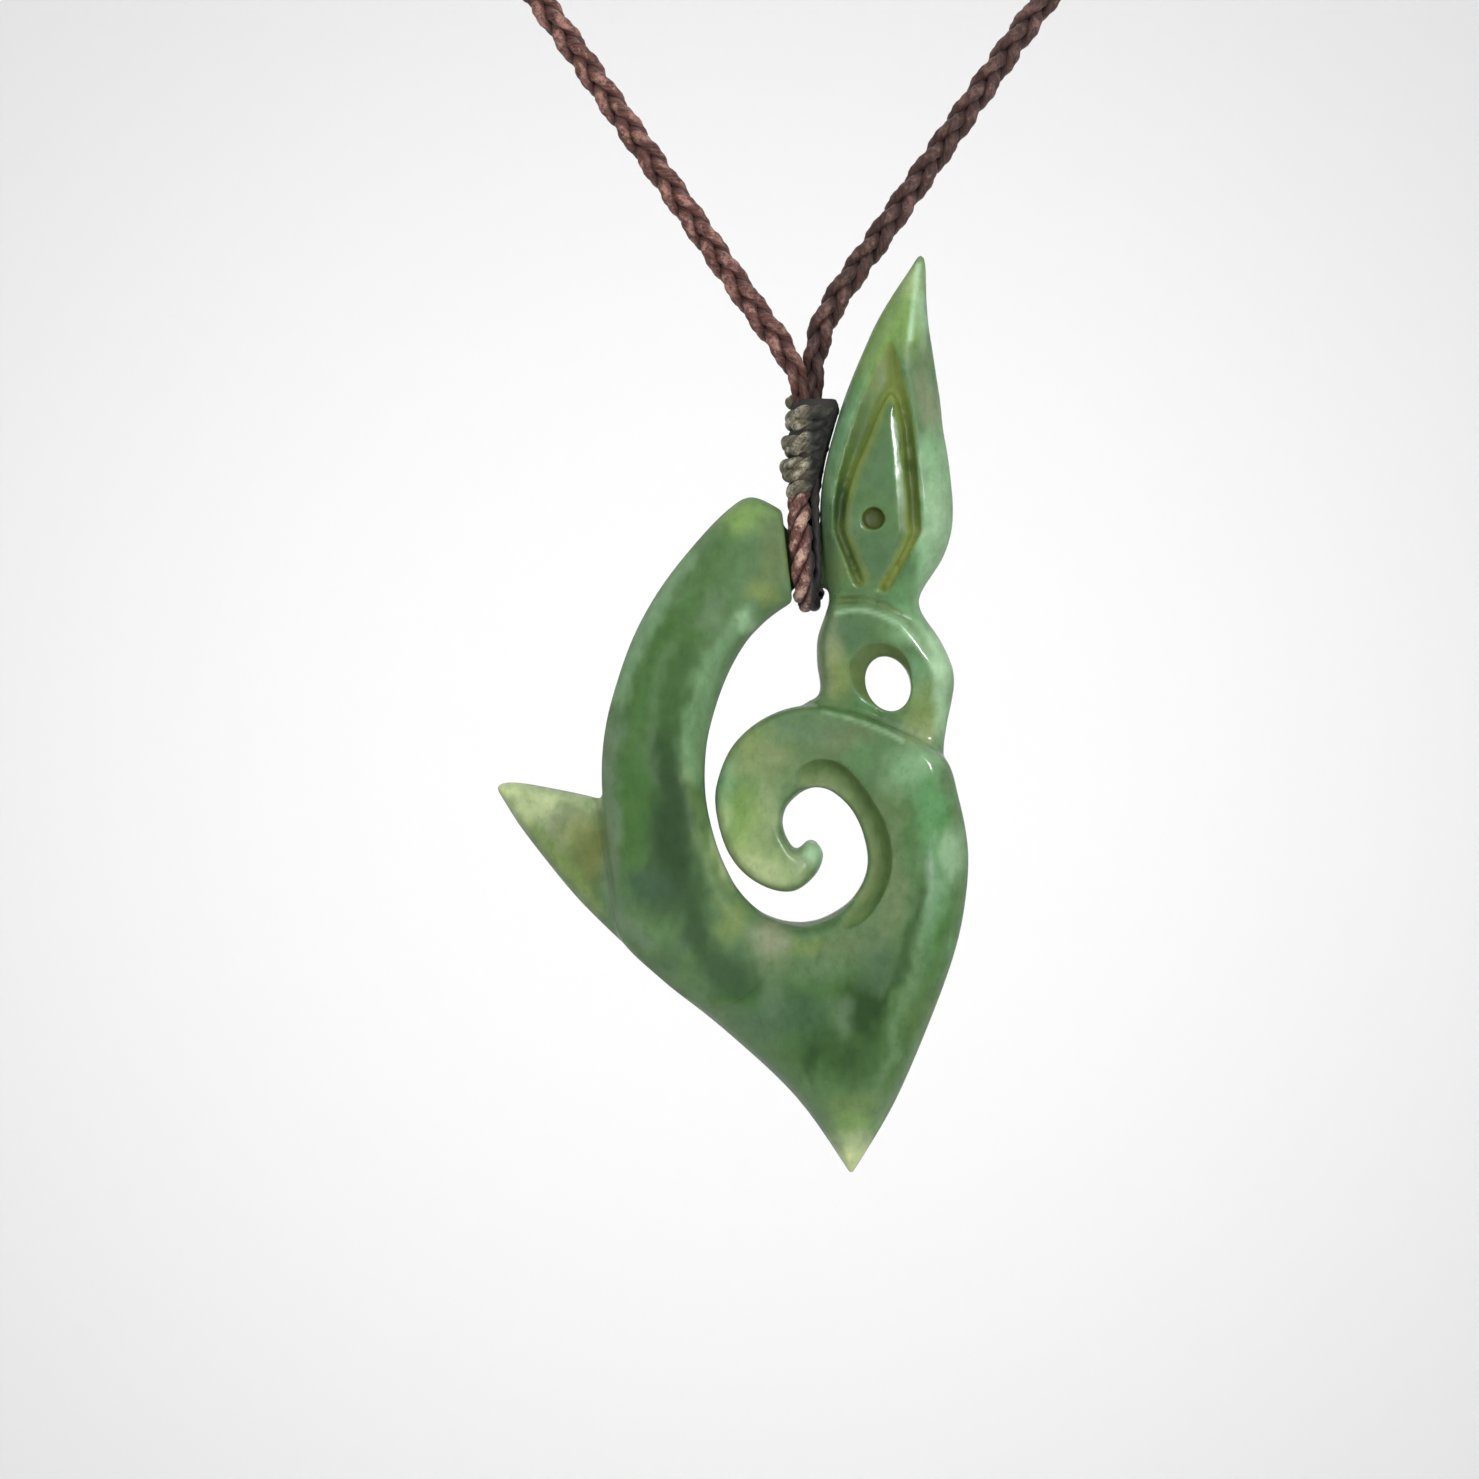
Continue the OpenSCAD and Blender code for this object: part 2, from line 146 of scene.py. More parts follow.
# Barb behind the arm, cut upright. Columns: x, bottom z, top z, thickness share, bevels, wall share
BARB = (
    (-24.05, -17.55, -17.2, 0.1, 0.17, 0.1),
    (-23.4, -18.6, -16.98, 0.24, 0.8, 0.12),
    (-22.2, -20.45, -17.02, 0.34, 1.1, 0.2),
    (-20, -23.3, -17.4, 0.42, 1.3, 0.3),
    (-18, -25.7, -17.8, 0.46, 1.4, 0.34),
    (-16, -27.75, -18.3, 0.48, 1.5, 0.38),
    (-13.5, -30.1, -19.2, 0.5, 1.5, 0.4))

# Saddle under the loop, half round below the line that the loop turns round, with a web beside
# the head. Columns: x, top z
BRIDGE = ((-4, 2.6), (-2.2, 2.4), (-0.6, 2.1), (0.35, 2.3), (0.8, 3.5), (1.2, 4.8), (2.8, 5.6))
BRIDGE_AXIS_Z = -0.7
BRIDGE_RADIUS = 1.45

# Groove round the face, from its lower left end over the point to its lower right end.
# Columns: outer x, outer z, inner x, inner z
FACE_GROOVE = (
    ((3.3, -2, 3.95, -2.05), (2.45, 0, 3.05, 0.15), (1.55, 2.1, 2.25, 2.25)),
    ((1.55, 2.1, 2.25, 2.25), (1.6, 4.8, 2.45, 4.2), (2.1, 7.2, 3.1, 6.6),
     (2.7, 9.8, 4.1, 8.9), (3.65, 12.6, 5.05, 11.3), (4.8, 15.1, 5.65, 12.35),
     (6.05, 17.5, 6.02, 12.75)),
    ((6.05, 17.5, 6.02, 12.75), (7.3, 12.6, 6.55, 11.9), (7.8, 9.8, 6.98, 9.6),
     (8.15, 6, 7.32, 5.8), (8.4, 2.1, 7.58, 2)),
    ((8.4, 2.1, 7.58, 2), (7.3, 0.1, 6.55, -0.15), (5.85, -2.45, 5.05, -2.55)))
# Profile across that groove. Columns: share of the way from its outer to its inner line, way past
# the inner line, depth under the skin
GROOVE_PROFILE = (
    (0, 0, -0.03), (0.2, 0, 0.36), (0.66, 0, 0.9), (0.92, 0, 0.95), (1, 0.02, 0.62),
    (1, 0.16, 0.25), (1, 0.62, 0.12), (1, 0.95, 0.02), (1, 1.2, -0.03))

# Groove between head and neck, which runs on down the right side as a faint step.
# Columns: x, z, width, depth
NECK_GROOVE = (
    (0.3, -3.25, 0.9, 0.62), (2, -3.15, 0.9, 0.62), (4, -3.1, 0.9, 0.5), (5.6, -3.55, 1, 0.36),
    (7, -4.4, 1.2, 0.28), (8.3, -5.9, 1.3, 0.22), (9.2, -7.4, 1.2, 0.12), (9.8, -8.8, 1, 0.02))
# Profile across it. Columns: share of half the width, share of the depth, or millimetres above the skin
NECK_GROOVE_PROFILE = ((1, -0.04), (0.55, 0.45), (0.15, 1), (-0.15, 1), (-0.55, 0.45), (-1, -0.04))
# Left of this the groove stays level, where the neck's own bevel falls away.
NECK_GROOVE_LEVEL_X = 1.9

# Shallow round eye: x, z, radius. Its floor is this share as wide, and lies this deep under the level
# of its rim, which is given over the thickness.
EYE = (4.65, 3.1, 1)
EYE_FLOOR = 0.8
EYE_DEPTH = 0.9
EYE_RIM = 0.475
# Hole through the neck: x, z, length, width, lean in degrees
HOLE = (5.8, -9.45, 4.3, 3.4, 20)
# Its wide bevel: x, z, radius of the rim over the hole's length, level of the rim over the thickness,
# radius of the foot over the hole's width, level of the foot over the thickness
HOLE_BEVEL = (4.85, -8.75, 0.675, -0.45, 0.375, -0.12)

# Hollowed cove inside the curl, which runs out at both ends.
# Columns: crease x, crease z, edge x, edge z, share of the full depth
COVE = (
    (-3.3, -17.6, -2.1, -18.7, 0.02), (-2.3, -16.5, -1.4, -18.1, 0.16),
    (-1, -15.55, -0.5, -17.6, 0.46), (0.6, -15.1, 0.55, -17.5, 0.86),
    (2.1, -15.45, 1.6, -17.9, 1), (3.3, -16.5, 2.3, -18.6, 1), (4.4, -18, 3, -19.6, 1),
    (5.4, -19.7, 3.5, -20.9, 1), (5.95, -21.4, 3.8, -22.2, 1), (6.1, -23, 3.9, -23.2, 1),
    (5.8, -24.6, 3.6, -24.4, 1), (5.1, -26.1, 3, -25.5, 0.95), (4, -27.5, 2.2, -26.2, 0.6),
    (2.4, -28.4, 1.2, -27, 0.02))
# Profile across the cove. Columns: share of the way from crease to edge, depth under its rim over
# the stone's thickness
COVE_PROFILE = (
    (0.03, 0.05), (0.14, 0.14), (0.32, 0.2), (0.55, 0.235), (0.8, 0.27), (1, 0.31), (1.25, 0.33))
COVE_RIM = 0.485

# Height above the middle, over the thickness, at which the cutters end clear of the stone.
CLEAR_LEVEL = 0.6
# Steps between the rows of the tables, points across a band, and how round its bevels are.
ROW_STEPS = 6
BRIDGE_STEPS = 4
GROOVE_STEPS = 8
COVE_STEPS = 4
SECTION_STEPS = 22
BEVEL_POWER = 1.6
BRIDGE_SIDES = 48
ROUND_SIDES = 72
# Grid on which the uncarved stone is grown together, and how often it is then smoothed.
BLANK_GRID = 0.16
BLANK_POLISH = 5
POLISH_FACTOR = 0.5

# Whipping of the binding. Columns: z, left x, right x, depth
BINDING = (
    (4.9, -2, 0.52, 3.4), (5.6, -2.3, 0.6, 3.6), (6.1, -2.1, 0.67, 3.4),
    (6.9, -2.5, 0.81, 3.9), (8, -2.1, 1.04, 3.6), (9.2, -2.35, 1.36, 4),
    (10.4, -1.9, 1.7, 3.7), (11.5, -2.1, 2, 4.2), (12.5, -1.75, 1.95, 3.9))

# Route of the hanging loop down the front and up the back. Columns: x, z, depth share of the turn
LOOP_FRONT = (
    (-0.96, 4.3, -0.42), (-0.96, 3.2, -0.74), (-0.92, 2.2, -0.97), (-0.85, 1, -1.02),
    (-0.77, 0.2, -1), (-0.71, -0.7, -1))
LOOP_BACK = (
    (0.06, -0.7, 1.01), (0.04, 0.2, 1.04), (-0.07, 1, 1.06), (-0.26, 2.2, 1.03),
    (-0.38, 3.2, 0.78), (-0.42, 4.3, 0.44))
# The x of the turn under the bridge, at even steps from the front to the back.
LOOP_TURN_X = (-0.67, -0.58, -0.44, -0.24, -0.06, 0.03, 0.06)
LOOP_CLEARANCE = 0.07
# Where the front end of the loop is tucked in, inside the binding. The back end mirrors it.
LOOP_TUCK = (-0.85, -0.3, 6)
# A strand, painted black as shade, that lies between the front of the loop and the head, and ends
# under the loop's turn.
# Columns: x, y, z
BLACK_STRAND = (
    (0.3, -0.6, 6.2), (0.27, -1.1, 5.2), (0.24, -1.52, 4.2), (0.27, -1.82, 3.2), (0.31, -1.95, 2.2),
    (0.36, -1.99, 1), (0.44, -1.98, 0), (0.47, -1.94, -0.8), (0.4, -1.78, -1.6),
    (0.2, -1.3, -2.4), (-0.1, -0.6, -2.9))
BLACK_STRAND_WIDTH = 0.62

# Plies of each kind of strand: how many, pitch, depth over the strand's radius
PLAIT_PLIES = (3, 2.6, 0.1)
TWIST_PLIES = (2, 1.5, 0.08)
BLACK_PLIES = (2, 2.4, 0.12)
THREAD_PLIES = (2, 2.4, 0.17)
# Strands of the plait and of the twist, the width of a plait's strand over that of the plait, the
# pitch of the twist, and how far its strands swell into each other.
STRANDS = 3
STRAND_SHARE = 0.46
TWIST_PITCH = 6.2
TWIST_SWELL = 1.04
# Gaps between the sections of the cords, points round each strand, and steps between the rows.
PLAIT_GAP = 0.28
LOOP_GAP = 0.16
KNOT_GAP = 0.2
THREAD_GAP = 0.12
PLAIT_SIDES = 18
TWIST_SIDES = 14
BLACK_SIDES = 16
THREAD_SIDES = 20
ROUTE_STEPS = 12
LOOP_STEPS = 8
# The binding draws the plait in to this share of its width, over this length.
DRAWN_IN_LENGTH = 7
DRAWN_IN_WIDTH = 0.6

# Thread of the binding: turns, points of its route, its unevenness as reaches and rates, its swelling
# as a share and a rate, and how far its crowns reach over its radius.
THREAD_TURNS = 6.9
THREAD_POINTS = 560
THREAD_SAG = ((0.2, 0.5), (0.12, 1.7))
THREAD_BUMPS = (0.08, 1.9)
THREAD_CROWN = 1.12
BINDING_STEPS = 10
# Core under the thread: where its ends begin to round in and how fast, and, over the thread, how far
# it stays inside and how much further its black reaches on the side of the head, where it stands in
# for the shade between the binding and the head.
CORE_BOTTOM = 5.6
CORE_TOP = 11.3
CORE_ROUNDING = 0.25
CORE_INSET = 0.42
CORE_TO_HEAD = 0.5
CORE_SIDES = 24
CORE_STEPS = 3
# Knot at the nape: its wraps, points of each, how much its cord swells, how fast its ends come out and
# the share of the radius from which they do.
KNOT_WRAPS = 5
KNOT_WRAP_POINTS = 60
KNOT_SWELL = 1.02
KNOT_TUCK_RATE = 12
KNOT_TUCK_RADIUS = 0.55

# Route of the right half of the neck cord from inside the knot, which the left half mirrors, and the
# last points of each half, down into the binding. Columns: x, y, z
SIDE_ROUTE = (
    (1.5, 2.4, 0), (4.5, 2.4, 0), (12, 2.2, 0), (22, -0.5, 0), (33, -5.5, -1), (44, -13, -3),
    (53, -22.5, -6), (60, -34, -11), (63.5, -46, -18), (63.5, -58, -27), (60, -69, -38),
    (54.5, -78.5, -50), (48, -86, -61), (40.5, -93, -72.5), (33, -98.5, -84), (25.5, -102.5, -95),
    (18.2, -105.8, -105), (12.7, -108, -113), (7.2, -110, -121))
RIGHT_END = (
    (3.1, -110.9, -127), (1.8, -111.1, -130.5), (1.65, -111.4, -132.8), (1.65, -111.6, -134),
    (1.65, -111.6, -135.6))
LEFT_END = (
    (-3.1, -111.6, -127), (-0.6, -112.3, -130.5), (0.45, -112.5, -132.8), (0.65, -112.4, -134),
    (0.65, -112.4, -135.6))
NECK_MIDDLE_Y = -50

# Clouds in the stone: tone, strength, x, z, half width, half height, and the lean of those that lean
CLOUDS = (
    ("leaf", 0.45, -10, -18, 6, 14), ("leaf", 0.65, 1.5, -35.5, 7, 6),
    ("deep", 0.85, -10.9, -19.6, 1.8, 4.6), ("deep", 0.6, -11.4, -24.6, 1.8, 2.2),
    ("fern", 0.8, -13.3, -19.4, 1.2, 3.8), ("fern", 0.25, -11.2, -11.6, 1.4, 3),
    ("deep", 0.3, -10.8, -14.6, 1.4, 2.6), ("leaf", 0.55, -10.4, -5.4, 2, 2.2, -20),
    ("leaf", 0.55, -7.6, -2.6, 2.2, 2, 30), ("bright", 0.6, -4.9, -4.9, 1, 0.8, 30),
    ("teal_dark", 0.75, -12.2, -24.8, 1.6, 1.6), ("deep", 0.55, -8.8, -28.4, 1.4, 1.8, 20),
    ("deep", 0.4, -8.8, -25.6, 1.1, 1.6, 20), ("deep", 0.4, -10, -21.8, 1.6, 2),
    ("deep", 0.4, -8.4, -30.6, 1.2, 1.2, 20), ("slate", 0.35, 4.6, -29.4, 1.8, 1.6),
    ("deep", 0.4, -11.6, -26.2, 1.4, 1.4), ("teal_dark", 0.6, -6.2, -31.8, 2, 1.3, 30),
    ("slate", 0.45, -10.6, -30, 1, 3.6, 48), ("leaf", 0.6, -7, -33.4, 1.3, 1),
    ("slate", 0.75, -3.8, -34.8, 2.2, 2.2, 20), ("mist", 0.3, -3.4, -33, 1.2, 1.4),
    ("teal_dark", 0.65, -0.6, -34.8, 2.4, 2.2), ("deep", 0.9, 4, -34.2, 1.8, 2.8, -20),
    ("slate", 0.6, 5, -31.4, 1.8, 1.8), ("fern", 0.45, -5.4, -32.6, 1.6, 1.2, 30),
    ("deep", 0.58, 1.2, -37.4, 2.8, 1.8), ("deep", 0.4, 3.6, -38.4, 2.2, 2),
    ("deep", 0.7, 0, -38.6, 0.5, 1.5, 4), ("mist", 0.45, 2.3, -34.8, 0.9, 1.4),
    ("slate", 0.35, -2.6, -32.2, 1.4, 1), ("mist", 0.35, 0.6, -31, 2, 1.4),
    ("olive", 0.5, -6, -27.6, 1, 1.6, 30), ("dusk", 0.62, -3.4, -28.8, 1.8, 1.4, -20),
    ("dusk", 0.2, -3, -30.6, 1.6, 1.2), ("olive", 0.5, -0.4, -29.2, 1.6, 0.9),
    ("smoke", 0.45, 2.2, -29.6, 2, 1.2), ("smoke", 0.35, 4.6, -28.4, 1.6, 1.8),
    ("smoke", 0.6, 6, -24.6, 1.2, 4), ("smoke", 0.5, 5.6, -19.6, 1.4, 3, 14),
    ("leaf", 0.4, 6.4, -17.6, 1, 2.6, 14), ("smoke", 0.55, 2.2, -13.8, 2.6, 1.8, -10),
    ("teal", 0.22, 3.6, -15, 1.6, 1.2, -30), ("pale", 0.65, 7.6, -16, 2.4, 1.8, -20),
    ("emerald", 0.85, 9.3, -20, 1, 3.4, -4), ("teal", 0.45, 8.6, -18.4, 1.4, 1.8),
    ("mint", 0.35, 9.2, -24.4, 1.4, 3), ("bright", 0.5, 10.7, -22.4, 0.9, 2.2, -6),
    ("leaf", 0.5, 11.2, -26.4, 0.8, 3.2, 4), ("emerald", 0.45, 10, -28.8, 1.4, 3, 8),
    ("moss", 0.6, 8.4, -35, 0.9, 2, 24), ("olive", 0.35, 3, -41.8, 2.6, 1.3),
    ("fresh", 0.6, 3, -43.6, 2.4, 1.3), ("honey", 0.65, 3, -45.4, 2.2, 1.5), ("tip", 1, 3, -46.8, 2.4, 1.6),
    ("olive", 0.5, -4, -14.4, 2.8, 2, 30), ("smoke", 0.4, -2.2, -15.2, 2.2, 1.4),
    ("honey", 0.2, -5, -15, 3.6, 2.6, 30), ("mist", 0.4, -1.2, -12.8, 2.4, 1.5),
    ("pale", 0.55, -6.8, -17.6, 0.9, 4, 4), ("honey", 0.7, -6.8, -20.8, 0.8, 2.4),
    ("fresh", 0.75, -5.1, -19.8, 1.7, 3), ("honey", 0.42, -3.4, -19.2, 1.1, 2.4),
    ("glow", 0.58, -3.9, -23.2, 3.6, 2.2, 24), ("honey", 0.66, -4.8, -23.6, 2.8, 1.5, 30),
    # The bright cloud at 0.4, -22.4 lightens the knob, partly as painted light
    ("honey", 0.28, -1.8, -24, 2.2, 1.2), ("bright", 0.85, 0.4, -22.4, 1, 1.4),
    ("dusk", 0.55, 1.4, -7.6, 1, 3.4, 4), ("olive", 0.4, 1.6, -8.2, 1, 2, 4),
    ("olive", 0.6, 2.4, -9.2, 1, 1.8), ("slate", 0.5, 3, -5.4, 1.8, 1.4),
    ("leaf", 0.3, 6, -5.8, 2, 1.4, -20), ("pale", 0.75, 8.2, -4.8, 2, 2.4, -30),
    # The bright cloud at 9.6, -7.4 is partly a painted highlight round the neck's glint
    ("bright", 0.95, 9.6, -7.4, 1.2, 2.4, -20), ("mint", 0.55, 8, -9.6, 1.2, 2, -20),
    ("olive", 0.65, 8.5, -11.2, 1.5, 2), ("honey", 0.35, 8.2, -13, 1.4, 1.2),
    ("bright", 0.7, 9.9, -11.4, 0.9, 2.6), ("emerald", 0.45, 4.6, -11, 1.8, 1, -14),
    ("emerald", 0.55, 7.4, -2.8, 1.6, 1.8), ("pale", 0.8, 8.4, -0.8, 1.2, 2.8, -16),
    ("bright", 0.66, 9.7, 3.4, 1.7, 4.2), ("pale", 0.7, 9.4, 8, 1.4, 2.6), ("dusk", 0.6, 8.7, 11.8, 1, 2.2),
    ("smoke", 0.6, 8.3, 15.4, 0.9, 2.2), ("bright", 0.8, 8.2, 19.4, 0.8, 3),
    ("glow", 0.8, 7.3, 21.6, 1.4, 2.2), ("fresh", 0.9, 6.2, 18.6, 1.9, 3, -20),
    ("fresh", 0.85, 4.5, 15, 1.2, 3.2, 24), ("teal", 0.6, 2.8, 10.8, 1, 3.4, 22),
    ("mint", 0.6, 2, 9.6, 0.8, 2.8, 16), ("pale", 0.35, 1.4, 7, 0.8, 2.6, 6),
    ("slate", 0.35, 1.2, 3.6, 1.2, 2.4), ("moss", 0.6, 1.4, 0, 1.3, 2.6),
    ("teal_dark", 0.45, 1.6, 1.8, 1.1, 2), ("slate", 0.4, 4.6, 7.4, 1.4, 2.6, -12),
    ("emerald", 0.6, 6.4, 6.8, 0.7, 2.6, -4), ("mist", 0.5, 3, 2.6, 0.9, 1.4), ("slate", 0.4, 5, 0, 2, 1.8),
    ("tip", 1, -23.6, -17.4, 1.8, 1.2), ("honey", 0.88, -21.6, -19, 2.6, 1.8, -30),
    ("dusk", 0.75, -18.6, -20.6, 2.2, 1.8, -30), ("olive", 0.6, -18, -21, 2.2, 1.8, -30),
    ("bark", 1, -16.6, -22.6, 2.2, 2.8), ("fresh", 0.85, -5.2, 3.3, 2.4, 1.3, -20),
    ("moss", 0.8, -2.8, 0.4, 1.6, 3.4), ("olive", 0.55, -3.4, -2.6, 1.6, 0.9, 30),
    ("leaf", 0.45, -6.6, 0.2, 1.8, 2.2, 30), ("mist", 0.35, -7.6, -3.8, 0.9, 1.6, 36))

# Long veins: tone, strength, half width, then the points of the line as x, z
VEINS = (
    ("fern", 0.55, 1.1, (-9.7, -6), (-10.3, -9), (-10.6, -12.5), (-10.8, -15)),
    ("deep", 0.3, 0.8, (-9.6, -7.4), (-10.2, -10), (-10.6, -13), (-10.9, -17)),
    ("deep", 0.64, 1.2, (-10.9, -14.5), (-11.1, -18), (-10.7, -22.5)),
    ("deep", 0.66, 1.2, (-10.4, -22.5), (-9.2, -27), (-7.2, -30.4), (-5.4, -31.8)),
    ("leaf", 0.5, 0.6, (-12.4, -5.6), (-13.6, -9.6), (-14, -14), (-13.9, -19), (-13.4, -23)),
    ("mist", 0.18, 0.4, (-10.9, -7), (-11.6, -10.4), (-11.9, -14), (-12.3, -17)),
    ("pale", 0.45, 0.7, (-9.4, 0.2), (-11.8, -3.2), (-13.8, -6.8), (-15, -10.4)),
    ("pale", 0.36, 0.8, (-4.6, -4.2), (-6.4, -6), (-7.9, -9), (-8.6, -12.4), (-8.9, -16.5)),
    ("olive", 0.22, 0.5, (-9.4, -16), (-9, -19), (-8.2, -21.6), (-7, -24.8), (-5.8, -27)),
    ("fern", 0.48, 0.55, (-8.6, -3.2), (-11.2, -5.4), (-12.4, -8.8), (-12.9, -13.2), (-13.7, -17.6)),
    ("mist", 0.65, 0.7, (-15.3, -13), (-15.5, -17), (-15, -22), (-14.6, -26.4), (-12.4, -29.2)),
    ("mint", 0.26, 0.55, (9.6, -24), (9, -26.6), (8.4, -29)),
    # The bevels' painted light, along the right side of the body
    ("strip", 0.3, 0.5, (8.4, -29), (6.8, -34.4), (5.4, -39.4)),
    ("leaf", 0.68, 0.7, (10.6, -28), (9.3, -32), (7.9, -36), (6.2, -40)),
    ("deep", 0.55, 0.45, (7.9, -25.6), (7.2, -28.8), (6.3, -31.6), (5.2, -34.6)),
    ("leaf", 0.45, 0.35, (7.4, -18.6), (7.8, -21.4), (7.9, -25)),
    ("honey", 0.72, 0.6, (-23.4, -17.3), (-19.6, -17.9), (-16.3, -18.5)),
    ("olive", 0.55, 0.7, (-22, -20.4), (-19.4, -23.6), (-16.4, -26.6)),
    # Painted highlight along the ridge at the top of the curl, and painted shade in the valley above it
    ("bright", 0.35, 0.17, (0.8, -11.55), (2.6, -12), (5, -12.85), (6.9, -13.8)),
    ("leaf", 0.55, 0.45, (0, -10.9), (2.6, -11.3), (5.4, -12.3)),
    # Painted highlight along the ridge of the neck
    ("bright", 0.45, 0.18, (1.8, -4.1), (3.6, -3.85), (5.3, -4.3), (6.9, -5.3), (8.3, -6.9), (9.4, -8.5)),
    # Painted highlight down the ridge at the tip of the head
    ("bright", 0.85, 0.2, (8.05, 22.4), (7.85, 20.4), (7.6, 18.2), (7.5, 16.8)))

# Clouds that show only on the floor of the cuts: partly the stone's own colour there, partly painted
# shade in the hollows of the face's groove
CUT_CLOUDS = (
    ("deep", 0.92, 1.9, 4.4, 1.2, 3.4), ("olive", 0.3, 5.8, 15, 1.6, 2.2),
    ("fern", 0.62, 3.1, 9.6, 1.3, 3.6, 20), ("deep", 0.36, 3.1, 9.6, 1.3, 3.6, 20),
    ("fern", 0.35, 4.3, 12.6, 1.2, 2, 20), ("deep", 0.3, 5.4, 14.8, 1.3, 2.2, 10),
    ("moss", 0.6, 2.6, 0.4, 1, 2.2, -24), ("deep", 0.62, 2.6, 0.2, 1, 2.2, -24),
    ("deep", 0.62, 7.7, 6.8, 1.1, 5.4, -6), ("teal", 0.25, 4.2, -3, 3.2, 0.8),
    ("moss", 0.6, 2, -3.2, 1.6, 0.9))
# Painted shadow of the loop on the web and the edge of the head: x, z, half width, half height
LOOP_SHADOW = (0.1, 1.4, 0.58, 5)

# Depths under the skin between which a place begins to count as the floor of a cut.
CUT = (0.02, 0.32)
IN_CUT = ("depth", *CUT)
IN_COVE = ("height", -13.6, -14.6)
# Tones laid on by what a point is like: tone, strength, then each measure with the value at which it
# hides the tone and the value at which it lets it through in full. The first come under the clouds,
# the next under the clouds of the cuts, the last over all but the painted shadow under the loop.
VEILS = (("slate", 0.2, ("veil", 0, 0.6)), ("leaf", 0.25, ("veil", 0, -0.6)))
CUT_LAYERS = (
    # Painted light on the bevels, where light falls on the slopes and comes through the thinner stone
    ("strip", 0.25, ("flank", 0.04, 0.35), ("thin", 0.05, 0.5)),
    ("groove", 0.85, IN_CUT, ("height", -3, -2.6)),
    ("moss", 0.8, IN_CUT, ("height", -2.6, -3)),
    # The cove's tones paint shade by its steep crease and light on its slope and thin lip
    ("cove", 0.7, IN_CUT, IN_COVE),
    ("honey", 0.25, IN_CUT, IN_COVE, ("to_edge", 0.3, 0.8)),
    ("pearl", 0.9, IN_CUT, IN_COVE, ("to_edge", 0.78, 1)),
    ("leaf", 0.25, IN_CUT, IN_COVE, ("to_edge", 0.35, 0.1)))
LAST_LAYERS = (
    ("pupil", 0.95, ("from_eye", 1, 0.85), ("depth", 0.2, 0.5)),
    # Painted shade on the steep edges seen from the side
    ("rim", 0.75, ("flank", 0.74, 0.97), ("depth", 0.32, 0.02)))

# A cloud reaches this far over its half width, full within this share of it, and likewise a vein. A
# vein finer than the last isn't bent by the noise.
CLOUD_REACH = 1.45
CLOUD_CORE = 0.2
VEIN_REACH = 1.8
VEIN_CORE = 0.1
FINE_VEIN = 0.3
# Noise that bends the clouds, seeded so that each run draws them alike: stretch, scale, offset, reach
# in millimetres. The veils' own has no reach.
CLOUD_SEED = 5
CLOUD_SWIRLS = (((1, 0.35, 1), 0.28, (3, 1, 7), 0.8), ((1.5, 0.35, 0.7), 1.1, (1, 5, 2), 0.42))
VEIL_SWIRL = ((1, 0.35, 1), 0.3, (9, 4, 1))

# Roughness of the stone, of its cuts between two depths, of the arm and of the painted shadow under the
# loop.
ROUGH_STONE = 0.26
ROUGH_CUT = 0.5
ROUGH_CUT_DEPTHS = (0.06, 0.25)
ROUGH_ARM = 0.55
ROUGH_LOOP_SHADOW = 0.75
# The arm's duller finish ends between these distances from its middle line.
ARM_REACH = (4.75, 4.25)
# Places with more or less polish than the rest: roughness, x, z, half width, half height, lean
POLISH = (
    (0.17, 6.2, 9.6, 0.9, 4.6, -8), (0.5, 7.8, 11.6, 0.75, 5.6, -8), (0.14, 9, -8, 2.4, 5, -10),
    (0.14, 9.4, -17, 2.4, 5, 10), (0.14, 0.4, -22.4, 1.8, 1.4), (ROUGH_LOOP_SHADOW, *LOOP_SHADOW))

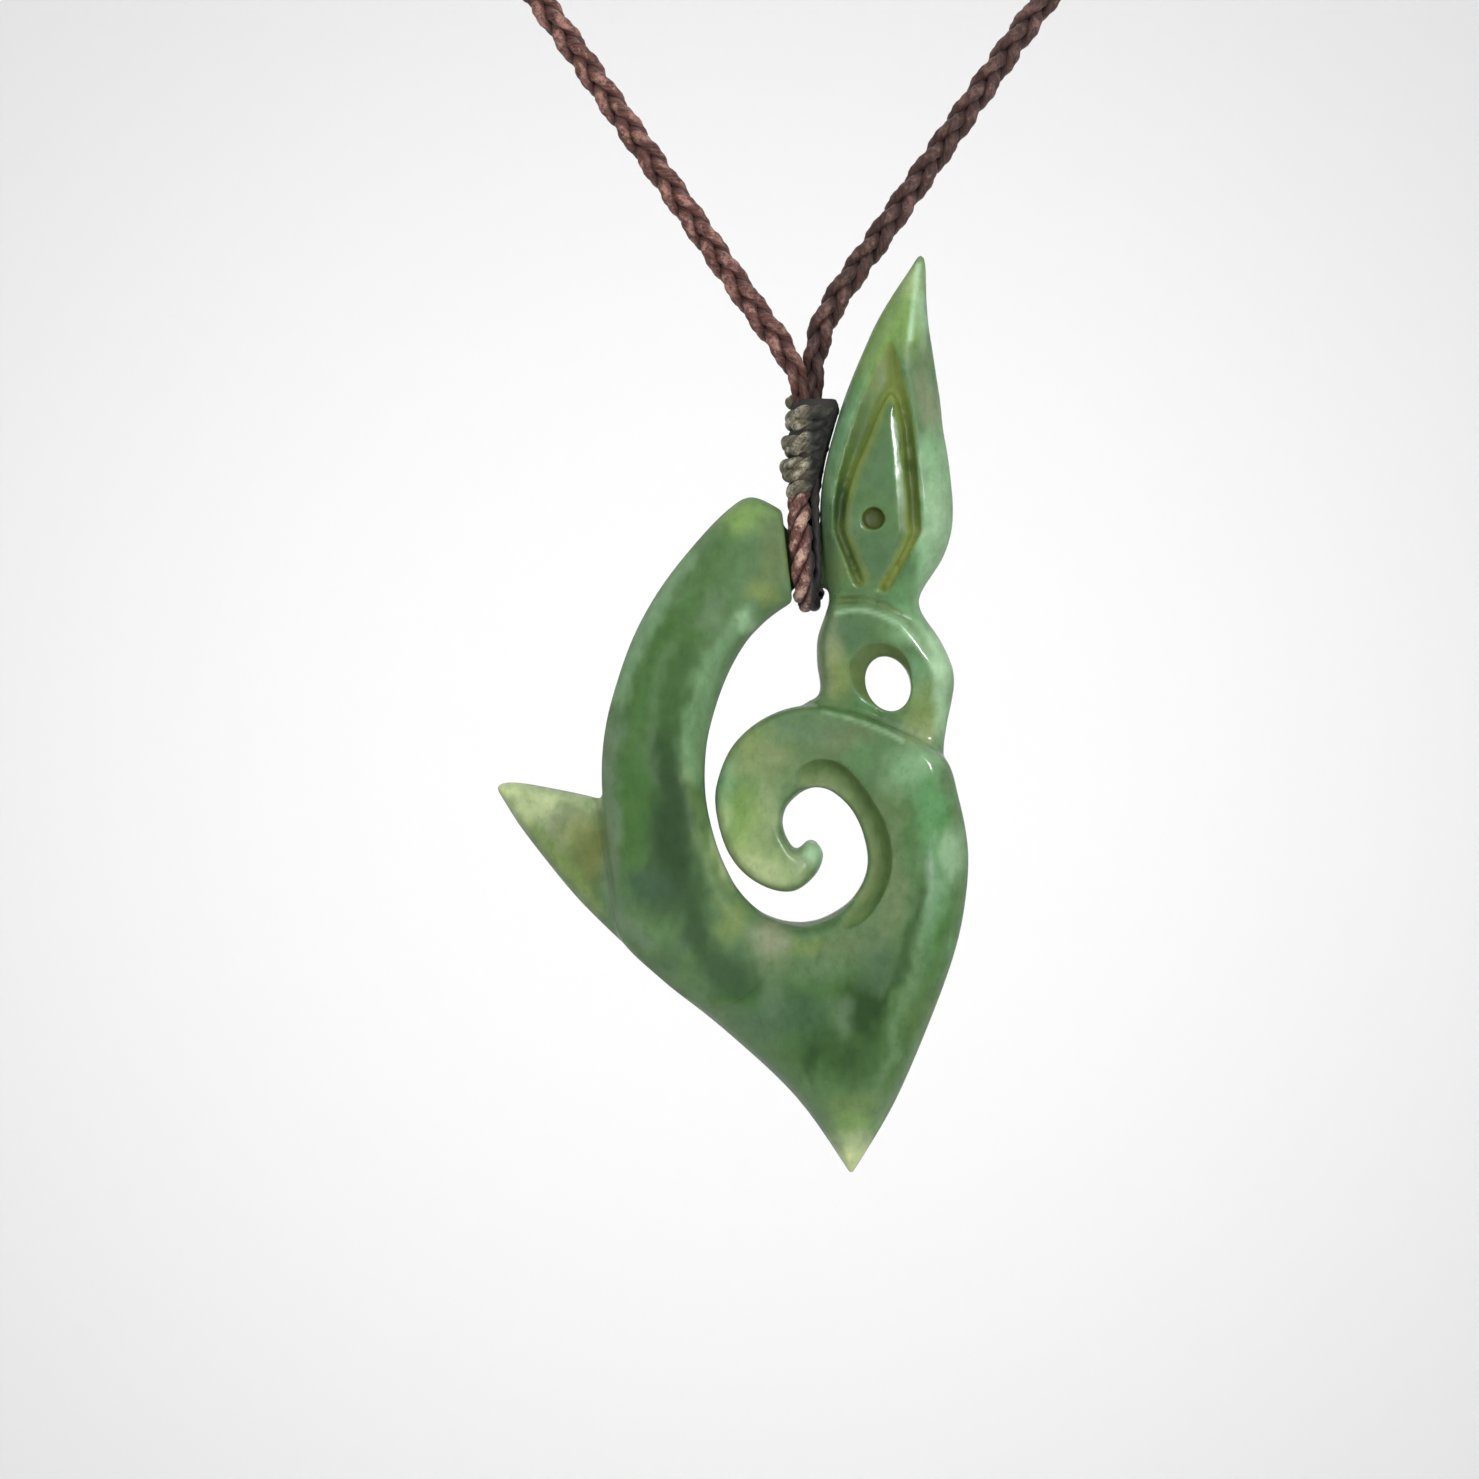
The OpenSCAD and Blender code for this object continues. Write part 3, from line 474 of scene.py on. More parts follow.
# Tones of the stone: what each is for, and its colour
TONES = {
    "mid": ("Main green of the stone", (0.074, 0.144, 0.056)),
    "deep": ("Dark clouds", (0.01, 0.038, 0.006)),
    "leaf": ("Warm dark green clouds", (0.044, 0.108, 0.02)),
    "fern": ("Clear dark green clouds", (0.028, 0.092, 0.012)),
    "slate": ("Greyed dark green clouds", (0.054, 0.1, 0.054)),
    "teal_dark": ("Cool dark clouds", (0.03, 0.072, 0.036)),
    "teal": ("Cool bright green of the right side", (0.095, 0.24, 0.102)),
    "pale": ("Pale cool green", (0.215, 0.375, 0.205)),
    "fresh": ("Fresh yellow green of the head", (0.16, 0.265, 0.07)),
    "glow": ("Light that comes through thin stone", (0.3, 0.385, 0.165)),
    "olive": ("Yellow green clouds", (0.165, 0.22, 0.06)),
    "moss": ("Brown green of shaded thin stone", (0.085, 0.125, 0.035)),
    "smoke": ("Greyish clouds", (0.13, 0.165, 0.084)),
    "dusk": ("Brownish grey clouds", (0.24, 0.245, 0.16)),
    "mist": ("Bluish grey veils", (0.118, 0.175, 0.108)),
    "mint": ("Light cool green", (0.155, 0.3, 0.16)),
    "bright": ("Lightest cool green of thin edges", (0.32, 0.485, 0.3)),
    "emerald": ("Clear green", (0.072, 0.2, 0.066)),
    "honey": ("Pale yellow green of thin stone", (0.35, 0.41, 0.215)),
    # Painted light of the bevels
    "strip": ("Bevels, where less stone lies behind", (0.135, 0.215, 0.112)),
    "tip": ("Thin bottom point", (0.47, 0.53, 0.26)),
    "bark": ("Brown green of the barb's root", (0.108, 0.135, 0.038)),
    # Painted light on the cove's thin lip
    "pearl": ("Pale lip of the cove", (0.6, 0.64, 0.49)),
    "cove": ("Floor of the cove", (0.082, 0.14, 0.042)),
    "groove": ("Floor of the face's groove", (0.16, 0.2, 0.034)),
    "pupil": ("Eye", (0.05, 0.07, 0.012)),
    # Painted shade of the steep edges
    "rim": ("Edges seen from the side", (0.05, 0.085, 0.045)),
    # Painted shadow under the loop, on the stone
    "wax": ("Waxed shadow under the loop", (0.016, 0.018, 0.014)),
}

# Noises of the jade's fine mottling: stretch, scale, detail, roughness
MOTTLE_NOISES = {
    "mottle": ((1, 1, 1), 0.8, 5, 0.62),
    "fleck": ((1, 1, 1), 2.6, 3, 0.6),
    "streak": ((1.3, 1, 0.8), 1, 6, 0.7)}
# Where each darkens or lightens the paint: from and to a value, strength there, and its tint
MOTTLES = (
    ("mottle", 0.36, 0.5, 0.45, 0, (0.72, 0.78, 0.7)),
    ("mottle", 0.5, 0.66, 0, 0.45, (1.28, 1.22, 1.26)),
    ("fleck", 0.54, 0.72, 0, 0.16, (0.8, 0.86, 0.78)),
    ("streak", 0.32, 0.5, 0.5, 0, (0.66, 0.74, 0.64)),
    ("streak", 0.52, 0.72, 0, 0.36, (1.3, 1.24, 1.3)))

# Tones of the cords: between the fibres, which also paints the shade low between the strands, on them,
# and where the crowns are rubbed paler and painted as highlights
CORD_TONES = {
    # The right half of the plait is the same cord as the left, painted darker as shade
    "plait_right": ((0.023, 0.012, 0.01), (0.06, 0.026, 0.021), (0.135, 0.072, 0.056)),
    "plait_left": ((0.036, 0.014, 0.011), (0.112, 0.043, 0.033), (0.29, 0.15, 0.115)),
    "loop": ((0.036, 0.014, 0.011), (0.13, 0.05, 0.038), (0.42, 0.28, 0.22)),
    "thread": ((0.03, 0.026, 0.015), (0.118, 0.106, 0.066), (0.33, 0.305, 0.225)),
    "knot": ((0.016, 0.007, 0.006), (0.085, 0.032, 0.022), (0.2, 0.105, 0.075))}
# Black of the painted shade on the binding and the loop
PAINTED_SHADE_BLACK = (0.013, 0.013, 0.012)
# Near-black tones of the core under the thread; on the side of the head they stand in for shade
CORE_TONES = ((0.016, 0.015, 0.014), (0.03, 0.027, 0.024))
# Lay of the fibres: the length in which they turn once round a strand, how often they change along it
# and round it.
FIBRE_PITCH = 2.6
FIBRE_ALONG = 0.6
FIBRE_AROUND = 9

# Stage, in metres. The room is a round floor that curves up into a wall.
VIEW_WIDTH = 0.1128
VIEW_MIDDLE = Vector((-0.00403, 0, -0.16017))
CAMERA_DISTANCE = 0.8
SENSOR_WIDTH = 36
FLOOR_Z = -0.9
# Tones of the floor: the lighter one is a painted pool of light on the wall behind the pendant
FLOOR_TONES = ((0.7, 0.7, 0.7), (0.9, 0.9, 0.9))
ROOM_RADIUS = 4
ROOM_CURVE = 0.3
ROOM_STEPS = 12
ROOM_SIDES = 96
WALL_HEIGHT = 3.2
WORLD_LIGHT = 0.88
# Lights that aim at a point a little below the hanging place. Columns: name, place from that point,
# width, height, power, whether the gloss mirrors it
AIM_BELOW = 0.012
LIGHTS = (
    ("front", (-0.72, -1.14, 0.504), 0.8, 0.8, 10.5, False),
    ("fill", (0.96, -0.9, -0.36), 0.8, 0.8, 5.5, False),
    ("behind", (0.72, 1.2, 0.6), 0.9, 0.9, 8, False),
    ("glint", (0.369, -0.674, 0.177), 0.065, 0.12, 2.75, True))
# Spot that whitens the wall behind the pendant.
BACKDROP_Y = 2.5
BACKDROP_POWER = 40
BACKDROP_ANGLE = math.radians(120)


def spline(a, b, c, d, u):
    """Value at share u between rows b and c, on a smooth curve through all rows."""
    return tuple(
        (2 * q + (r - p) * u + (2 * p - 5 * q + 4 * r - s) * u * u
         + (3 * q - p - 3 * r + s) * u * u * u) / 2
        for p, q, r, s in zip(a, b, c, d))


def smooth_rows(rows, steps):
    """The rows with others between them, on a smooth curve."""
    ends = [rows[0], *rows, rows[-1]]
    between = [
        spline(*ends[i:i + 4], step / steps) for i in range(len(rows) - 1) for step in range(steps)]
    return between + [tuple(rows[-1])]


def smooth_line(rows, steps):
    return [Vector(row) for row in smooth_rows(rows, steps)]


def pick(*objects):
    """Only these objects are selected, and the last of them is active."""
    if bpy.context.mode != "OBJECT":
        bpy.ops.object.mode_set(mode="OBJECT")
    bpy.ops.object.select_all(action="DESELECT")
    for obj in objects:
        obj.select_set(True)
        bpy.context.view_layer.objects.active = obj


def apply_modifier(obj, kind, **settings):
    pick(obj)
    modifier = obj.modifiers.new(kind.lower(), kind)
    for key, value in settings.items():
        setattr(modifier, key, value)
    bpy.ops.object.modifier_apply(modifier=modifier.name)


def loft(name, rings):
    """A closed skin: a circle shaped to the first ring, extruded from ring to ring and capped."""
    pick()
    count = len(rings[0])
    bpy.ops.mesh.primitive_circle_add(vertices=count, fill_type="NOTHING")
    obj = bpy.context.object
    obj.name = name
    bpy.ops.object.mode_set(mode="EDIT")
    for number, ring in enumerate(rings):
        if number:
            bpy.ops.mesh.extrude_region_move()
        mesh = bmesh.from_edit_mesh(obj.data)
        mesh.verts.ensure_lookup_table()
        start = len(mesh.verts) - count
        for j, point in enumerate(ring):
            mesh.verts[start + j].co = point
    bpy.ops.mesh.select_all(action="DESELECT")
    mesh = bmesh.from_edit_mesh(obj.data)
    for edge in mesh.edges:
        edge.select = edge.is_boundary
    mesh.select_flush(True)
    bmesh.update_edit_mesh(obj.data)
    bpy.ops.mesh.edge_face_add()
    turn_faces(False)
    return obj


def turn_faces(inside):
    """Turns every face of the mesh in edit mode outward, or inward, and leaves edit mode."""
    bpy.ops.mesh.select_all(action="SELECT")
    bpy.ops.mesh.normals_make_consistent(inside=inside)
    bpy.ops.object.mode_set(mode="OBJECT")


def finish_piece(obj, material, place, unit, body, node):
    """Gives a piece its material, brings it from its own units to its place, with the object at the
    origin, and lets it ride its body instead of a node of the source."""
    obj.data.materials.clear()
    obj.data.materials.append(material)
    pick(obj)
    obj.scale = (unit, unit, unit)
    obj.location = place
    bpy.ops.object.transform_apply(location=True, rotation=True, scale=True)
    bpy.ops.object.shade_smooth()
    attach(obj, body)
    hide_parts(node)


def rise(distance, width):
    """Share of the height reached at a distance from an edge with a rounded bevel of that width."""
    share = min(distance / width, 1)
    return (1 - (1 - share) ** BEVEL_POWER) ** (1 / BEVEL_POWER)


def section(outer, inner, thickness, outer_bevel, inner_bevel, wall):
    """Ring across a band: over the front from the outer to the inner edge, and back behind."""
    outer, inner = Vector(outer), Vector(inner)
    width = (inner - outer).length
    outer_bevel = min(outer_bevel, width / 2)
    inner_bevel = min(inner_bevel, width / 2)
    front = []
    for j in range(SECTION_STEPS + 1):
        share = (1 - math.cos(math.pi * j / SECTION_STEPS)) / 2
        at = outer.lerp(inner, share)
        full = rise(share * width, outer_bevel) * rise((1 - share) * width, inner_bevel)
        front.append((at.x, -thickness / 2 * (wall + (1 - wall) * full), at.y))
    return front + [(x, -y, z) for x, y, z in reversed(front)]


def bridge_ring(x, top):
    ring = []
    for j in range(BRIDGE_SIDES):
        angle = 2 * math.pi * j / BRIDGE_SIDES
        lift = top - BRIDGE_AXIS_Z if math.sin(angle) > 0 else BRIDGE_RADIUS
        ring.append((x, -BRIDGE_RADIUS * math.cos(angle), BRIDGE_AXIS_Z + lift * math.sin(angle)))
    return ring


def stone_blank(thick):
    """The uncarved stone: bands, head, barb and bridge, grown together and polished."""
    level = [(left, z, right, z, *rest) for z, left, right, *rest in HEAD_AND_NECK]
    upright = [(x, low, x, high, t, bevel, bevel, wall) for x, low, high, t, bevel, wall in BARB]
    parts = [
        loft(name, [
            section((ox, oz), (ix, iz), t * thick, outer_bevel, inner_bevel, wall)
            for ox, oz, ix, iz, t, outer_bevel, inner_bevel, wall in smooth_rows(rows, ROW_STEPS)])
        for name, rows in (
            ("curl_and_body", CURL_AND_BODY), ("arm", ARM), ("head_and_neck", level), ("barb", upright))]
    parts.append(loft("bridge", [bridge_ring(x, top) for x, top in smooth_rows(BRIDGE, BRIDGE_STEPS)]))
    pick(*parts)
    bpy.ops.object.join()
    blank = bpy.context.object
    blank.name = "stone"
    apply_modifier(blank, "REMESH", mode="VOXEL", voxel_size=BLANK_GRID)
    apply_modifier(blank, "SMOOTH", factor=POLISH_FACTOR, iterations=BLANK_POLISH)
    return blank


def head_skin(x, z, thick):
    """Half thickness of the head and neck at a place of their plan."""
    rows = sorted(HEAD_AND_NECK)
    after = next((i for i, row in enumerate(rows) if row[0] > z), len(rows) - 1)
    low, high = rows[after - 1], rows[after]
    share = (z - low[0]) / (high[0] - low[0])
    left, right, t, left_bevel, right_bevel, wall = (
        a + (b - a) * share for a, b in zip(low[1:], high[1:]))
    half = (right - left) / 2
    full = rise(max(x - left, 0), min(left_bevel, half)) * rise(max(right - x, 0), min(right_bevel, half))
    return t * thick / 2 * (wall + (1 - wall) * full)


def open_above(ring, thick):
    """The ring of a groove's cutter, with both ends carried up clear of the stone."""
    top = -CLEAR_LEVEL * thick
    return [(ring[0][0], top, ring[0][2])] + ring + [(ring[-1][0], top, ring[-1][2])]


def groove_rings(thick):
    """Sections of the groove round the face: sloped down from its outer line to a wall at the face,
    whose rim is rounded over."""
    rings = []
    for side in FACE_GROOVE:
        for ox, oz, ix, iz in smooth_rows(side, GROOVE_STEPS):
            outer, inner = Vector((ox, oz)), Vector((ix, iz))
            way = (inner - outer).normalized()
            ring = []
            for share, past, depth in GROOVE_PROFILE:
                at = outer.lerp(inner, share) + past * way
                ring.append((at.x, depth - head_skin(at.x, at.y, thick), at.y))
            rings.append(open_above(ring, thick))
    return rings


def neck_groove_rings(thick):
    """Sections of the level groove between head and neck, across its own line."""
    rings = []
    rows = smooth_rows(NECK_GROOVE, ROW_STEPS)
    for i, (x, z, width, depth) in enumerate(rows):
        before, after = rows[max(i - 1, 0)], rows[min(i + 1, len(rows) - 1)]
        along = Vector((after[0] - before[0], after[1] - before[1])).normalized()
        across = Vector((-along.y, along.x))
        ring = []
        for share, fall in NECK_GROOVE_PROFILE:
            at = Vector((x, z)) + across * share * width / 2
            lift = fall * depth if fall > 0 else fall
            ring.append((at.x, lift - head_skin(max(at.x, NECK_GROOVE_LEVEL_X), at.y, thick), at.y))
        rings.append(open_above(ring, thick))
    return rings


def cove_rings(thick):
    """Sections of the cove: a steep wall at the crease and a floor that falls away to the edge."""
    rings = []
    for cx, cz, ex, ez, full in smooth_rows(COVE, COVE_STEPS):
        ring = [(cx, -CLEAR_LEVEL * thick, cz)]
        for share, depth in COVE_PROFILE:
            y = (depth * full - COVE_RIM) * thick
            ring.append((cx + (ex - cx) * share, y, cz + (ez - cz) * share))
        ring.append((ring[-1][0], -CLEAR_LEVEL * thick, ring[-1][2]))
        rings.append(ring)
    return rings


def hole_cutter(thick):
    x, z, length, width, lean = HOLE
    pick()
    bpy.ops.mesh.primitive_cylinder_add(vertices=ROUND_SIDES, radius=0.5, depth=2 * thick)
    obj = bpy.context.object
    obj.location = (x, 0, z)
    obj.rotation_euler = (math.pi / 2, math.radians(-lean), 0)
    obj.scale = (width, length, 1)
    bpy.ops.object.transform_apply(location=True, rotation=True, scale=True)
    return obj


def round_cutter(name, *circles):
    """Cutter between circles, each given by its x, z, radius and level."""
    turns = [2 * math.pi * j / ROUND_SIDES for j in range(ROUND_SIDES)]
    return loft(name, [
        [(x + r * math.cos(turn), level, z + r * math.sin(turn)) for turn in turns]
        for x, z, r, level in circles])


def carve(blank, cutter, both=True):
    """Cuts the cutter out of the blank, on the front and, mirrored, on the back."""
    for behind in ((False, True) if both else (False,)):
        if behind:
            for vert in cutter.data.vertices:
                vert.co.y = -vert.co.y
            cutter.data.flip_normals()
        apply_modifier(blank, "BOOLEAN", operation="DIFFERENCE", object=cutter, solver="MANIFOLD")
    bpy.data.objects.remove(cutter)


def carved_stone(thick, grid):
    """The stone with its cuts, and how deep each of its points lies under the skin of the blank."""
    blank = stone_blank(thick)
    mesh = bmesh.new()
    mesh.from_mesh(blank.data)
    skin = BVHTree.FromBMesh(mesh)
    mesh.free()
    carve(blank, loft("groove_cutter", groove_rings(thick)))
    carve(blank, loft("neck_groove_cutter", neck_groove_rings(thick)))
    carve(blank, loft("cove_cutter", cove_rings(thick)))
    hole_x, hole_z, length, width = HOLE[:4]
    x, z, rim_share, rim_level, foot_share, foot_level = HOLE_BEVEL
    carve(blank, round_cutter(
        "hole_bevel_cutter", (x, z, rim_share * length, rim_level * thick),
        (hole_x, hole_z, foot_share * width, foot_level * thick)))
    carve(blank, hole_cutter(thick), both=False)
    x, z, r = EYE
    carve(blank, round_cutter(
        "eye_cutter", (x, z, r, -CLEAR_LEVEL * thick),
        (x, z, EYE_FLOOR * r, EYE_DEPTH - EYE_RIM * thick)))
    apply_modifier(blank, "REMESH", mode="VOXEL", voxel_size=grid)
    apply_modifier(blank, "SMOOTH", factor=POLISH_FACTOR, iterations=1)
    return blank, np.array([skin.find_nearest(vert.co)[3] for vert in blank.data.vertices])


def smoothstep(value, low, high):
    share = np.clip((value - low) / (high - low), 0, 1)
    return share * share * (3 - 2 * share)


def swirls(points, stretch, scale, offset):
    """Smooth noise of three values, from -1 to 1, at each point."""
    return np.array([noise.noise_vector(Vector(p) * scale + Vector(offset)) for p in points * stretch])


def patch(places, x, z, half_w, half_h, lean=0):
    """Weight of a soft oval patch at each place."""
    turn = math.radians(lean)
    right, up = places[:, 0] - x, places[:, 1] - z
    across = (right * math.cos(turn) - up * math.sin(turn)) / (half_w * CLOUD_REACH)
    along = (right * math.sin(turn) + up * math.cos(turn)) / (half_h * CLOUD_REACH)
    return smoothstep(np.hypot(across, along), 1, CLOUD_CORE)


def away_from_line(places, points):
    """Distance of each place from a smooth line through the points."""
    line = np.array(smooth_rows(points, ROW_STEPS))
    nearest = np.full(len(places), np.inf)
    for a, b in zip(line, line[1:]):
        way = b - a
        share = np.clip((places - a) @ way / (way @ way), 0, 1)
        nearest = np.minimum(nearest, np.hypot(*(places - a - share[:, None] * way).T))
    return nearest


def read_vectors(mesh, key):
    values = np.empty(len(mesh.vertices) * 3)
    mesh.vertices.foreach_get(key, values)
    return values.reshape(-1, 3)


def paint_stone(obj, thick, depths, sizes):
    """Stores the clouded green, with its painted light and shade, and the roughness of each point."""
    mesh = obj.data
    place, normal = read_vectors(mesh, "co"), read_vectors(mesh, "normal")
    tones = {name: np.array(getattr(sizes, name)) for name in TONES}
    paint = np.tile(tones["mid"], (len(place), 1))
    noise.seed_set(CLOUD_SEED)
    plan = place[:, (0, 2)]
    warped = plan.copy()
    for stretch, scale, offset, reach in CLOUD_SWIRLS:
        warped += reach * swirls(place, stretch, scale, offset)[:, (0, 2)]
    crease = away_from_line(plan, [row[:2] for row in COVE])
    edge = away_from_line(plan, [row[2:4] for row in COVE])
    eye_x, eye_z, eye_r = EYE
    measures = {
        "veil": swirls(place, *VEIL_SWIRL)[:, 0],
        "thin": 1 - np.abs(place[:, 1]) / (thick / 2),
        "flank": 1 - np.abs(normal[:, 1]),
        "depth": depths,
        "height": place[:, 2],
        "to_edge": crease / (crease + edge),
        "from_eye": np.hypot(place[:, 0] - eye_x, place[:, 2] - eye_z) / eye_r}

    def cover(weight, tone):
        nonlocal paint
        paint += weight[:, None] * (tones[tone] - paint)

    def lay(layers):
        for tone, strength, *ramps in layers:
            weight = np.full(len(place), strength)
            for name, low, high in ramps:
                weight *= smoothstep(measures[name], low, high)
            cover(weight, tone)

    lay(VEILS)
    for tone, strength, *oval in CLOUDS:
        cover(strength * patch(warped, *oval), tone)
    for tone, strength, half, *points in VEINS:
        away = away_from_line(warped if half > FINE_VEIN else plan, points)
        cover(strength * smoothstep(away, VEIN_REACH * half, VEIN_CORE * half), tone)
    lay(CUT_LAYERS)
    for tone, strength, *oval in CUT_CLOUDS:
        cover(strength * smoothstep(depths, *CUT) * patch(plan, *oval), tone)
    lay(LAST_LAYERS)
    # Painted shadow under the loop, laid over all the rest
    cover(patch(plan, *LOOP_SHADOW), "wax")

    rough = np.full(len(place), ROUGH_STONE)
    rough += (ROUGH_CUT - rough) * smoothstep(depths, *ROUGH_CUT_DEPTHS)
    middles = [((ox + ix) / 2, (oz + iz) / 2) for ox, oz, ix, iz, *rest in ARM[3:]]
    rough += (ROUGH_ARM - rough) * smoothstep(away_from_line(plan, middles), *ARM_REACH)
    for roughness, *oval in POLISH:
        rough += (roughness - rough) * patch(plan, *oval)
    mesh.attributes.new("rough", "FLOAT", "POINT").data.foreach_set("value", rough)
    tint = mesh.attributes.new("tint", "FLOAT_COLOR", "POINT")
    tint.data.foreach_set("color", np.column_stack((paint, np.ones(len(paint)))).ravel())
    mesh.update()


def resample(points, gap):
    """Points along a line at an even gap, with the distance of each from the start."""
    lengths = [0]
    for a, b in zip(points, points[1:]):
        lengths.append(lengths[-1] + (b - a).length)
    count = max(2, round(lengths[-1] / gap))
    out = []
    i = 0
    for n in range(count + 1):
        at = lengths[-1] * n / count
        while i < len(lengths) - 2 and lengths[i + 1] < at:
            i += 1
        share = (at - lengths[i]) / max(lengths[i + 1] - lengths[i], 1e-9)
        out.append((points[i].lerp(points[i + 1], share), at))
    return out


def frames(points, outward):
    """Point, distance, side way and outward way at each point of a line."""
    out = []
    last = len(points) - 1
    for i, (at, distance) in enumerate(points):
        along = (points[min(i + 1, last)][0] - points[max(i - 1, 0)][0]).normalized()
        out_way = outward(at)
        out_way = (out_way - out_way.dot(along) * along).normalized()
        out.append((at, distance, along.cross(out_way).normalized(), out_way))
    return out


class Skin:
    """Collects tubes into one mesh, with the distance along each tube and round it as a UV map."""

    def __init__(self):
        self.points = []
        self.faces = []
        self.uvs = []
        self.crowns = []

    def tube(self, points, ring, sides, outward, tone, cores, reach):
        """A closed tube along points. ring gives the radius at a distance and an angle. A point's
        crown is its way from the middle of the cord, over the cord's own radius."""
        start = len(self.points)
        rows = frames(points, outward)
        for core, (at, distance, side, out_way) in zip(cores, rows):
            for j in range(sides):
                angle = 2 * math.pi * j / sides
                r = ring(distance, angle)
                self.points.append(at + r * (math.cos(angle) * side + math.sin(angle) * out_way))
                self.crowns.append((self.points[-1] - core).length / reach)
        for i in range(len(rows) - 1):
            for j in range(sides):
                a = start + i * sides + j
                b = start + i * sides + (j + 1) % sides
                self.faces.append((a, b, b + sides, a + sides))
                u0, u1 = rows[i][1], rows[i + 1][1]
                v0, v1 = j / sides + tone, (j + 1) / sides + tone
                self.uvs += [(u0, v0), (u0, v1), (u1, v1), (u1, v0)]
        first = range(start, start + sides)
        last = range(len(self.points) - sides, len(self.points))
        for cap, row in ((reversed(first), rows[0]), (last, rows[-1])):
            self.faces.append(tuple(cap))
            self.uvs += [(row[1], tone)] * sides

    def piece(self, name):
        mesh = bpy.data.meshes.new(name)
        mesh.from_pydata([tuple(p) for p in self.points], [], self.faces)
        layer = mesh.uv_layers.new(name="lay")
        layer.data.foreach_set("uv", [value for uv in self.uvs for value in uv])
        mesh.attributes.new("crown", "FLOAT", "POINT").data.foreach_set("value", self.crowns)
        obj = bpy.data.objects.new(name, mesh)
        bpy.context.scene.collection.objects.link(obj)
        pick(obj)
        bpy.ops.object.mode_set(mode="EDIT")
        turn_faces(False)
        return obj


def plied(radius, plies, pitch, depth, turn=1):
    """Ring of a strand of several plies that turn once round it in each pitch."""
    def ring(distance, angle):
        wave = math.cos(plies * (angle - turn * 2 * math.pi * distance / pitch))
        return radius * (1 + depth * wave)
    return ring


def plait(skin, route, width, period):
    """Strands that pass over and under each other along a route, drawn together at its end."""
    def outward(at):
        return Vector((at.x, at.y - NECK_MIDDLE_Y, 0))

    rows = frames(resample(route, PLAIT_GAP), outward)
    total = rows[-1][1]

    def drawn_in(distance):
        """Share of the plait's width that is left where the binding squeezes it."""
        share = min((total - distance) / DRAWN_IN_LENGTH, 1)
        return DRAWN_IN_WIDTH + (1 - DRAWN_IN_WIDTH) * share * share * (3 - 2 * share)

    strand_r = width * STRAND_SHARE / 2
    swing = width / 2 - strand_r
    plies = plied(strand_r, *PLAIT_PLIES)
    for n in range(STRANDS):
        line = []
        for at, distance, side, out_way in rows:
            turn = 2 * math.pi * (distance / period + n / STRANDS)
            reach = swing * drawn_in(distance)
            line.append((at + reach * (math.sin(turn) * side + math.sin(2 * turn) * out_way), distance))
        skin.tube(line, lambda distance, angle: plies(distance, angle) * drawn_in(distance), PLAIT_SIDES,
                  outward, n, [row[0] for row in rows], width / 2)


def twist(skin, points, radius, gap, outward):
    """Strands laid round each other along a line, as a rope of that outer radius."""
    strand_r = radius / (1 + 1 / math.sin(math.pi / STRANDS))
    round_r = radius - strand_r
    rows = frames(resample(points, gap), outward)
    for n in range(STRANDS):
        line = []
        for at, distance, side, out_way in rows:
            turn = -2 * math.pi * distance / TWIST_PITCH + 2 * math.pi * n / STRANDS
            line.append((at + round_r * (math.cos(turn) * side + math.sin(turn) * out_way), distance))
        skin.tube(line, plied(strand_r * TWIST_SWELL, *TWIST_PLIES, -1), TWIST_SIDES, outward, n,
                  [row[0] for row in rows], radius)


def half_route(way, ends):
    points = [(way * x, y, z) for x, y, z in SIDE_ROUTE]
    return smooth_line(points + list(ends), ROUTE_STEPS)


def loop_route(diameter):
    """Middle of the hanging loop: down the front, round the bridge and up the back."""
    turn_r = BRIDGE_RADIUS + LOOP_CLEARANCE + diameter / 2
    points = [(x, share * turn_r, z) for x, z, share in LOOP_FRONT]
    for i, x in enumerate(LOOP_TURN_X, 1):
        angle = math.pi * i / (len(LOOP_TURN_X) + 1)
        points.append((x, -turn_r * math.cos(angle), BRIDGE_AXIS_Z - turn_r * math.sin(angle)))
    points += [(x, share * turn_r, z) for x, z, share in LOOP_BACK]
    x, y, z = LOOP_TUCK
    return smooth_line([(x, y, z), *points, (x, -y, z)], LOOP_STEPS)


def thread_route(thread):
    """Middle of the binding's thread, wound down over the rows of the binding, a little unevenly."""
    rows = smooth_rows(BINDING, BINDING_STEPS)
    top, bottom = rows[-1][0] - thread / 2, rows[0][0] + thread / 2
    route = []
    for i in range(THREAD_POINTS + 1):
        share = i / THREAD_POINTS
        z = top + (bottom - top) * share
        left, right, depth = min(rows, key=lambda row: abs(row[0] - z))[1:]
        half_w, half_d = (right - left) / 2 - thread / 2, depth / 2 - thread / 2
        angle = 2 * math.pi * THREAD_TURNS * share + math.pi
        sag = sum(reach * math.sin(rate * angle) for reach, rate in THREAD_SAG)
        route.append(Vector((
            (left + right) / 2 + half_w * math.cos(angle), -half_d * math.sin(angle), z + sag)))
    return route


def core_rings(thread):
    """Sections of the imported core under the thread, rounded in at both ends."""
    rings = []
    for z, left, right, depth in smooth_rows(BINDING, CORE_STEPS):
        past = max(z - CORE_TOP, CORE_BOTTOM - z, 0)
        inset = CORE_INSET * thread + CORE_ROUNDING * past ** 2
        low, high = left + inset, right - inset + CORE_TO_HEAD * thread
        ring = []
        for j in range(CORE_SIDES):
            angle = 2 * math.pi * j / CORE_SIDES
            ring.append((
                (low + high) / 2 + (high - low) / 2 * math.cos(angle),
                (depth / 2 - inset) * math.sin(angle), min(z, CORE_TOP + 1)))
        rings.append(ring)
    return rings


